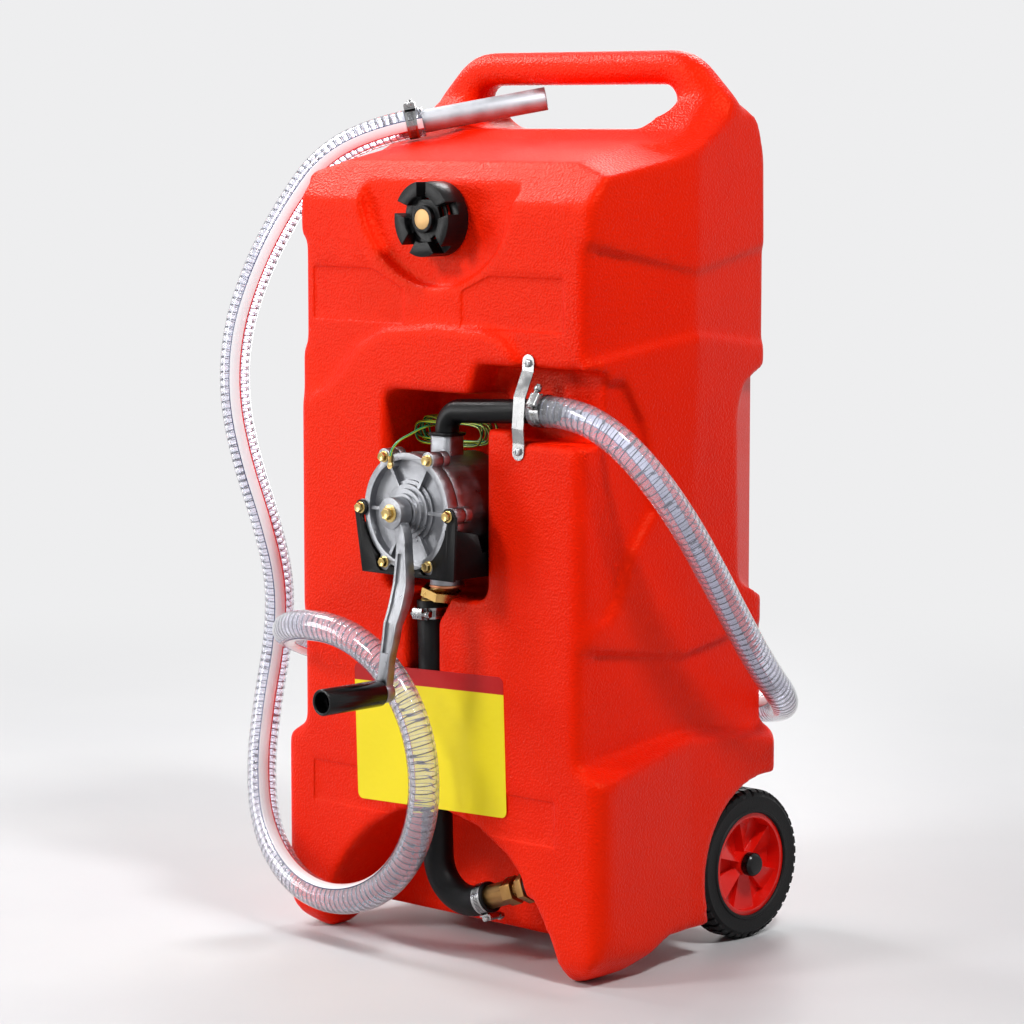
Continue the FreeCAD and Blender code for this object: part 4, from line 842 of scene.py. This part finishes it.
def outer_skin():
    """The tank's outer skin alone, closed where its bores were."""
    bm = merged_copy("tank")
    bores = [f for f in bm.faces if on_filler_bore(f) or on_outlet_bore(f)]
    bmesh.ops.delete(bm, geom=bores, context="FACES")
    keep_outermost(bm)
    bmesh.ops.holes_fill(bm, edges=[e for e in bm.edges if e.is_boundary], sides=0)
    bmesh.ops.recalc_face_normals(bm, faces=bm.faces)
    return bm


def keep_outermost(bm):
    """Delete what isn't joined to the topmost vertex."""
    keep = connected_to(max(bm.verts, key=lambda v: v.co.z))
    bmesh.ops.delete(bm, geom=[v for v in bm.verts if v not in keep], context="VERTS")


def on_even_grid(bm):
    """The same shape on an even grid, on which smoothing rounds every edge alike."""
    holder = bpy.data.objects.new("tank_raw", mesh_from("tank_raw", bm))
    bpy.context.scene.collection.objects.link(holder)
    remesh = holder.modifiers.new("remesh", "REMESH")
    remesh.mode = "VOXEL"
    remesh.voxel_size = tank_voxel
    done = bpy.data.meshes.new_from_object(holder.evaluated_get(bpy.context.evaluated_depsgraph_get()))
    bpy.data.objects.remove(holder)
    even = bmesh.new()
    even.from_mesh(done)
    return even


def make_tank():
    """The moulded tank: its outer skin only, with every edge as round as moulding leaves it."""
    bm = on_even_grid(outer_skin())
    keep_outermost(bm)
    rounder = [v for v in bm.verts if v.co.z > handle_low_z or v.co.z < feet_high_z
               or (abs(v.co.x) > front_corner_x and v.co.y < front_corner_y)]
    for step in range(tank_rounding + tank_more_rounding):
        bmesh.ops.smooth_vert(bm, verts=bm.verts if step < tank_rounding else rounder, factor=0.5,
                              use_axis_x=True, use_axis_y=True, use_axis_z=True)
    for v in bm.verts:
        on_front = v.co.y < upper_front_y + 0.003 and v.normal.y < -0.9
        if on_front:
            v.co.y += panel_depth * max(panel_share(v.co, sides) for sides in panels)
    triangles = sum(len(face.verts) - 2 for face in bm.faces)
    tank = add_piece("tank_moulding", mesh_from("tank_moulding", bm), "caddy", tank_red, ["tank"])
    thin = tank.modifiers.new("thin", "DECIMATE")
    thin.ratio = tank_triangles / triangles


def panel_share(place, sides):
    """How far a place on the front lies inside a sunken panel: 0 outside, 1 on its floor."""
    left, right, low, high, across, up, reach = sides
    beyond = max(left - place.x, place.x - right, low - place.z, place.z - high,
                 place.x * across + place.z * up - reach)
    share = min(max(-beyond / panel_edge, 0.0), 1.0)
    return share * share * (3 - 2 * share)


def on_filler_bore(face):
    """Whether a face belongs to the filler neck's bore."""
    return all(abs(math.hypot(v.co.x - filler.x, v.co.z - filler.z) - filler_bore_r) < bore_slack
               and v.co.y < front_half_y for v in face.verts)


def on_outlet_bore(face):
    """Whether a face belongs to the bore of the tank's low outlet."""
    for v in face.verts:
        away = v.co - outlet_wall
        if abs((away - outlet_way * away.dot(outlet_way)).length - outlet_bore_r) > bore_slack:
            return False
    return True


def connected_to(start):
    """Every vertex that edges join to the first."""
    found, waiting = {start}, [start]
    while waiting:
        for edge in waiting.pop().link_edges:
            for v in edge.verts:
                if v not in found:
                    found.add(v)
                    waiting.append(v)
    return found


# Delivery hose

def make_hose_clear(name, ribbed):
    """Clear hose wall, lightly ribbed outside where the wire lies under its skin."""
    finish = Finish(name, 0.04, coat=1.0 if ribbed else 0.0)
    tree = finish.material.node_tree
    shader = finish.shader
    shader.inputs["Base Color"].default_value = screen(246, 247, 255)
    shader.inputs["Transmission Weight"].default_value = 0.90
    shader.inputs["IOR"].default_value = 1.16
    axes = finish.hose_axes()
    turn = maths(tree, "ARCTAN2", axes["Y"], axes["X"])
    wound = maths(tree, "MULTIPLY", axes["Z"], 2 * math.pi / hose_wire_pitch)
    rib = maths(tree, "COSINE", maths(tree, "SUBTRACT", wound, turn))
    bump = finish.nodes.new("ShaderNodeBump")
    bump.inputs["Distance"].default_value = 0.0003 if ribbed else 0.0001
    finish.links.new(rib, bump.inputs["Height"])
    finish.links.new(bump.outputs["Normal"], shader.inputs["Normal"])
    ray = finish.nodes.new("ShaderNodeLightPath")
    through = maths(tree, "MULTIPLY", ray.outputs["Is Shadow Ray"], 1.0 - hose_shade)
    finish.links.new(maths(tree, "SUBTRACT", 1.0, through), shader.inputs["Alpha"])
    return finish.material


def make_hose_stripe():
    """White printed stripe, edged with thin dark blue and red lines."""
    finish = Finish("hose_stripe", 0.20, coat=0.5)
    tree = finish.material.node_tree
    axes = finish.hose_axes()
    turn = maths(tree, "ARCTAN2", axes["Y"], axes["X"])
    red = maths(tree, "GREATER_THAN", turn, stripe_half_angle - stripe_red_angle)
    blue = maths(tree, "LESS_THAN", turn, stripe_blue_angle - stripe_half_angle)
    edged = finish.colour_between(screen(242, 242, 245), screen(206, 30, 44), red)
    mix = finish.nodes.new("ShaderNodeMix")
    mix.data_type = "RGBA"
    mix.inputs["B"].default_value = screen(34, 40, 92)
    link = finish.links.new
    link(edged, mix.inputs["A"])
    link(blue, mix.inputs["Factor"])
    link(mix.outputs["Result"], finish.shader.inputs["Base Color"])
    return finish.material


def make_hose():
    """The clear delivery hose, the steel wire wound in its wall and its printed stripe."""
    points = smooth_line("hose_line", hose_route, 10)
    frames = turned_to_face(frames_along(points, Vector((0, 0, 1))), stripe_seen_at, to_camera)
    frames = twisted(frames, stripe_twist, stripe_twist_share)
    tube = swept_tube("delivery_hose_wall", frames, hose_r, 32)
    hose = add_piece("delivery_hose_wall", tube, "caddy", make_hose_clear("hose_clear", True),
                     ["delivery_hose"])
    hose.data.materials.append(make_hose_clear("hose_bore", False))
    wall = hose.modifiers.new("wall", "SOLIDIFY")
    wall.thickness = hose_wall
    wall.offset = -1.0
    wall.material_offset = 1
    strip = ribbon("hose_stripe", frames, hose_r + stripe_film / 2, stripe_half_angle, 8)
    stripe = add_piece("hose_stripe", strip, "caddy", make_hose_stripe())
    film = stripe.modifiers.new("film", "SOLIDIFY")
    film.thickness = stripe_film
    film.offset = 1.0
    wire = bpy.data.curves.new("hose_spiral", "CURVE")
    wire.dimensions = "3D"
    spline = wire.splines.new("POLY")
    turns = helix_points(frames, hose_r - hose_wall / 2, hose_wire_pitch, hose_wire_steps)
    spline.points.add(len(turns) - 1)
    for point, place in zip(spline.points, turns):
        point.co = (*place, 1.0)
    wire.bevel_depth = hose_wire_r
    wire.bevel_resolution = 1
    add_piece("hose_spiral", wire, "caddy", spiral_steel)
    return hose, points


# Earth wire

def make_wire_green():
    """Green insulation with a yellow stripe down two sides."""
    finish = Finish("wire_green", 0.34, coat=0.2)
    tree = finish.material.node_tree
    side = maths(tree, "ABSOLUTE", finish.hose_axes()["X"])
    yellow = maths(tree, "GREATER_THAN", side, wire_stripe_edge)
    colour = finish.colour_between(screen(4, 138, 88), screen(206, 222, 36), yellow)
    finish.links.new(colour, finish.shader.inputs["Base Color"])
    return finish.material


def hank_route():
    """The hank's corners: flattened loops side by side behind the neck, looser than in the solid."""
    _, start_y, start_z = wire_start[-1]
    corner = hank_rise * math.tan(math.radians(22.5))
    long = hank_half - hank_rise
    bend = 0.414
    sag = 1.08
    half_loop = [(-long - corner, 1.0), (-long - hank_rise, bend), (-long - hank_rise, -bend),
                 (-long - corner, -1.0), (-long / 3, -sag), (long / 3, -sag)]
    loop = half_loop + [(-x, -z) for x, z in half_loop]
    points = []
    for i in range(hank_turns * len(loop)):
        x, z = loop[i % len(loop)]
        which = i // len(loop)
        longer = 1 + hank_longer * math.sin(2.4 * which)
        lift = hank_higher * (1 - math.cos(1.7 * which))
        slip = hank_shifted * math.sin(3.1 * which)
        flatter = 1 - hank_flatter * math.sin(2.0 * which)
        points.append((hank_centre_x + slip + x * longer, start_y + hank_pitch * i / len(loop),
                       start_z - hank_rise + lift + hank_rise * z * flatter))
    return points


def wire_lug(frame, ring_way):
    """A crimped ring terminal: barrel along the frame's Z, flat ring beyond it."""
    barrel = turned([(0, -0.001), (0.0019, -0.001), (0.0021, 0.0), (0.0021, 0.0052), (0.0016, 0.006),
                     (0, 0.006)], frame, 20)
    centre = frame @ Vector((0, 0, 0.0088))
    flat = set_at(centre, ring_way, frame.to_3x3() @ Vector((0, 0, 1)))
    ring = turned([(0.0017, -0.0004), (0.0034, -0.0004), (0.0034, 0.0004), (0.0017, 0.0004),
                   (0.0017, -0.0004)], flat, 28)
    return joined([barrel, ring])


def make_earth_wire():
    """One wire from the screw on the cover to its hank, with a terminal at both ends."""
    route = list(wire_start) + hank_route()
    points = smooth_line("earth_line", route, 4)
    frames = frames_along(points, Vector((1, 0, 0)))
    tube = swept_tube("earth_lead", frames, wire_r, 10)
    wire = add_piece("earth_lead", tube, "caddy", make_wire_green(),
                     ["earth_wire", "earth_hank"])
    start_way = (points[0] - points[1]).normalized()
    first = set_at(points[0] - start_way * lug_overlap, start_way, forward)
    last = set_at(points[-1], points[-1] - points[-2], forward)
    lugs = joined([wire_lug(first, forward), wire_lug(last, forward)])
    lug_piece = add_piece("earth_lugs", crisp(mesh_from("earth_lugs", lugs)), "caddy", turned_brass)
    return wire, points, lug_piece


# Pump hardware and clamps

def make_bolts():
    """The flanged bolts of the cover, two of which also hold the bracket, and the crank's bolt."""
    bolts = []
    for i in range(6):
        angle = math.radians(60 * i)
        through_bracket = i in (0, 3)
        centre = pump + bolt_circle_r * Vector((math.cos(angle), 0, math.sin(angle)))
        centre.y = cover_rim_y - (bracket_sheet if through_bracket else 0)
        place = set_at(centre, forward) @ Matrix.Rotation(cover_bolt_turn * i, 4, "Z")
        bolts.append(flanged_bolt(place, *cover_bolt_size))
    add_piece("cover_bolt_heads", crisp(mesh_from("cover_bolt_heads", joined(bolts))), "caddy", bolt_gold,
              ["cover_bolts"])
    centre = Vector((pump.x, crank_front_y, pump.z))
    place = set_at(centre, forward) @ Matrix.Rotation(crank_bolt_turn, 4, "Z")
    crank_bolt = flanged_bolt(place, *crank_bolt_size)
    add_piece("crank_bolt_head", crisp(mesh_from("crank_bolt_head", crank_bolt)), "crank", bolt_gold,
              ["crank_bolt"])


def make_clamps():
    """The four worm clamps on the hose ends."""
    hose_end = Vector(hose_route[-1])
    nozzle_way = (hose_end - Vector(hose_route[-2])).normalized()
    places = {
        "delivery_clamp": (set_at(delivery_clamp_place, delivery_way, (0, -0.8, 0.6)),),
        "nozzle_clamp": (set_at(hose_end - nozzle_way * nozzle_clamp_inset, nozzle_way, (-0.1, -0.2, 0.97)),),
        "suction_clamps": (
            set_at(suction_top + suction_fall * suction_clamp_inset, suction_fall, forward),
            set_at(outlet_wall + outlet_way * outlet_clamp_reach, outlet_way, (0.34, 0, -0.94))),
    }
    made = {}
    for node, spots in places.items():
        radius = suction_hose_r if node == "suction_clamps" else hose_r
        clamps = joined([worm_clamp(spot, radius) for spot in spots])
        made[node] = add_piece(node + "_worm", crisp(mesh_from(node + "_worm", clamps)), "caddy", stainless,
                               [node])
    return made


# Wheels

def make_tyre(side, hand):
    """A tyre with a beaded side wall and staggered blocks round both shoulders."""
    half = tyre_width / 2
    floor_r = tyre_r - tread_depth
    shoulder_r = rim_r + 0.0195
    profile = [(rim_r, 0.0015 - half), (rim_r + 0.0012, -half), (rim_r + 0.0035, -half),
               (rim_r + 0.0045, 0.0012 - half), (rim_r + 0.012, 0.0014 - half),
               (rim_r + 0.0175, 0.0008 - half), (rim_r + 0.0205, 0.0030 - half),
               (floor_r, 0.0070 - half), (floor_r, -0.0016),
               (floor_r - 0.0012, -0.0010), (floor_r - 0.0012, 0.0010), (floor_r, 0.0016)]
    profile += [(radius, -height) for radius, height in reversed(profile[:-4])]
    profile.append(profile[0])
    bm = turned(profile, steps=tread_steps)
    blocks = []
    for face in bm.faces:
        centre = face.calc_center_median()
        reach = math.hypot(centre.x, centre.y)
        step = int((math.atan2(centre.y, centre.x) / (2 * math.pi) % 1.0) * tread_steps)
        stagger = 0 if centre.z < 0 else 1
        on_shoulder = reach > shoulder_r and abs(centre.z) > tread_groove_half
        if on_shoulder and (step + stagger) % tread_gap_every:
            blocks.append(face)
    made = bmesh.ops.extrude_face_region(bm, geom=blocks)["geom"]
    tops = [g for g in made if isinstance(g, bmesh.types.BMVert)]
    grow = tyre_r / floor_r
    bmesh.ops.scale(bm, vec=(grow, grow, 1.0), verts=tops)
    centre = Vector((hand * (tyre_face - half), axle.y, axle.z))
    bmesh.ops.transform(bm, matrix=set_at(centre, (hand, 0, 0)), verts=bm.verts)
    bmesh.ops.recalc_face_normals(bm, faces=bm.faces)
    node = side + "_tyre"
    add_piece(node + "_tread", crisp(mesh_from(node + "_tread", bm), 30), body_of_node[node], tyre_rubber,
              [node])


# Everything in order: camera, floor and light, then the cords

set_camera()
set_floor()
set_light()
hose, hose_line = make_hose()
wire, wire_line, wire_lugs = make_earth_wire()
make_tank()
make_bolts()
clamps = make_clamps()
make_tyre("left", -1)
make_tyre("right", 1)

# Nodes shown as they are built, with softened edges: finish and radius
edge_finishes = {
    "filler_cap": (black_moulding, 0.0012), "cap_disc": (disc_brass, 0.0004),
    "pump_cover": (pump_casting, 0.0009), "pump_housing": (pump_casting, 0.0010),
    "crank_arm": (pump_casting, 0.0012), "grip_pin": (shaft_steel, 0.0003),
    "crank_grip": (black_gloss, 0.0010), "pump_bracket": (black_coat, 0.0003),
    "bracket_bolts": (bolt_gold, 0.0003), "neck_lip": (black_rubber, 0.0006),
    "elbow_pipe": (black_moulding, 0.0006), "inlet_washer": (dull_copper, 0.0003),
    "suction_hose": (black_rubber, 0.0006),
    # The low outlet fitting and its nut take brass darkened with painted shade
    "outlet_fitting": (brass_painted_shade, 0.0004), "outlet_nut": (brass_painted_shade, 0.0004),
    "nozzle_pipe": (spout_alloy, 0.0004),
    "earth_screw": (bolt_gold, 0.0002), "axle": (shaft_steel, 0.0003),
    "hub_caps": (black_gloss, 0.0008), "left_rim": (rim_red, 0.0009), "right_rim": (rim_red, 0.0009),
}
shapes = {node: soft_edged(node, *finish) for node, finish in edge_finishes.items()}

# Nodes shown exactly as they are built
plain_finishes = {
    "info_sticker": blank_sticker, "pipe_strap": stainless, "strap_screws": shaft_steel,
    "inlet_tail": turned_brass, "cap_gasket": black_rubber, "cover_gasket": black_rubber,
    "pump_rotor": shaft_steel, "rotor_vanes": black_moulding, "crank_shaft": shaft_steel,
    "shaft_bushes": turned_brass, "shaft_seal": black_rubber, "outlet_gasket": black_rubber,
    "wheel_washers": black_moulding, "left_wheel_bush": black_moulding,
    "right_wheel_bush": black_moulding,
}
for node, material in plain_finishes.items():
    nodes[node].data.materials.clear()
    nodes[node].data.materials.append(material)
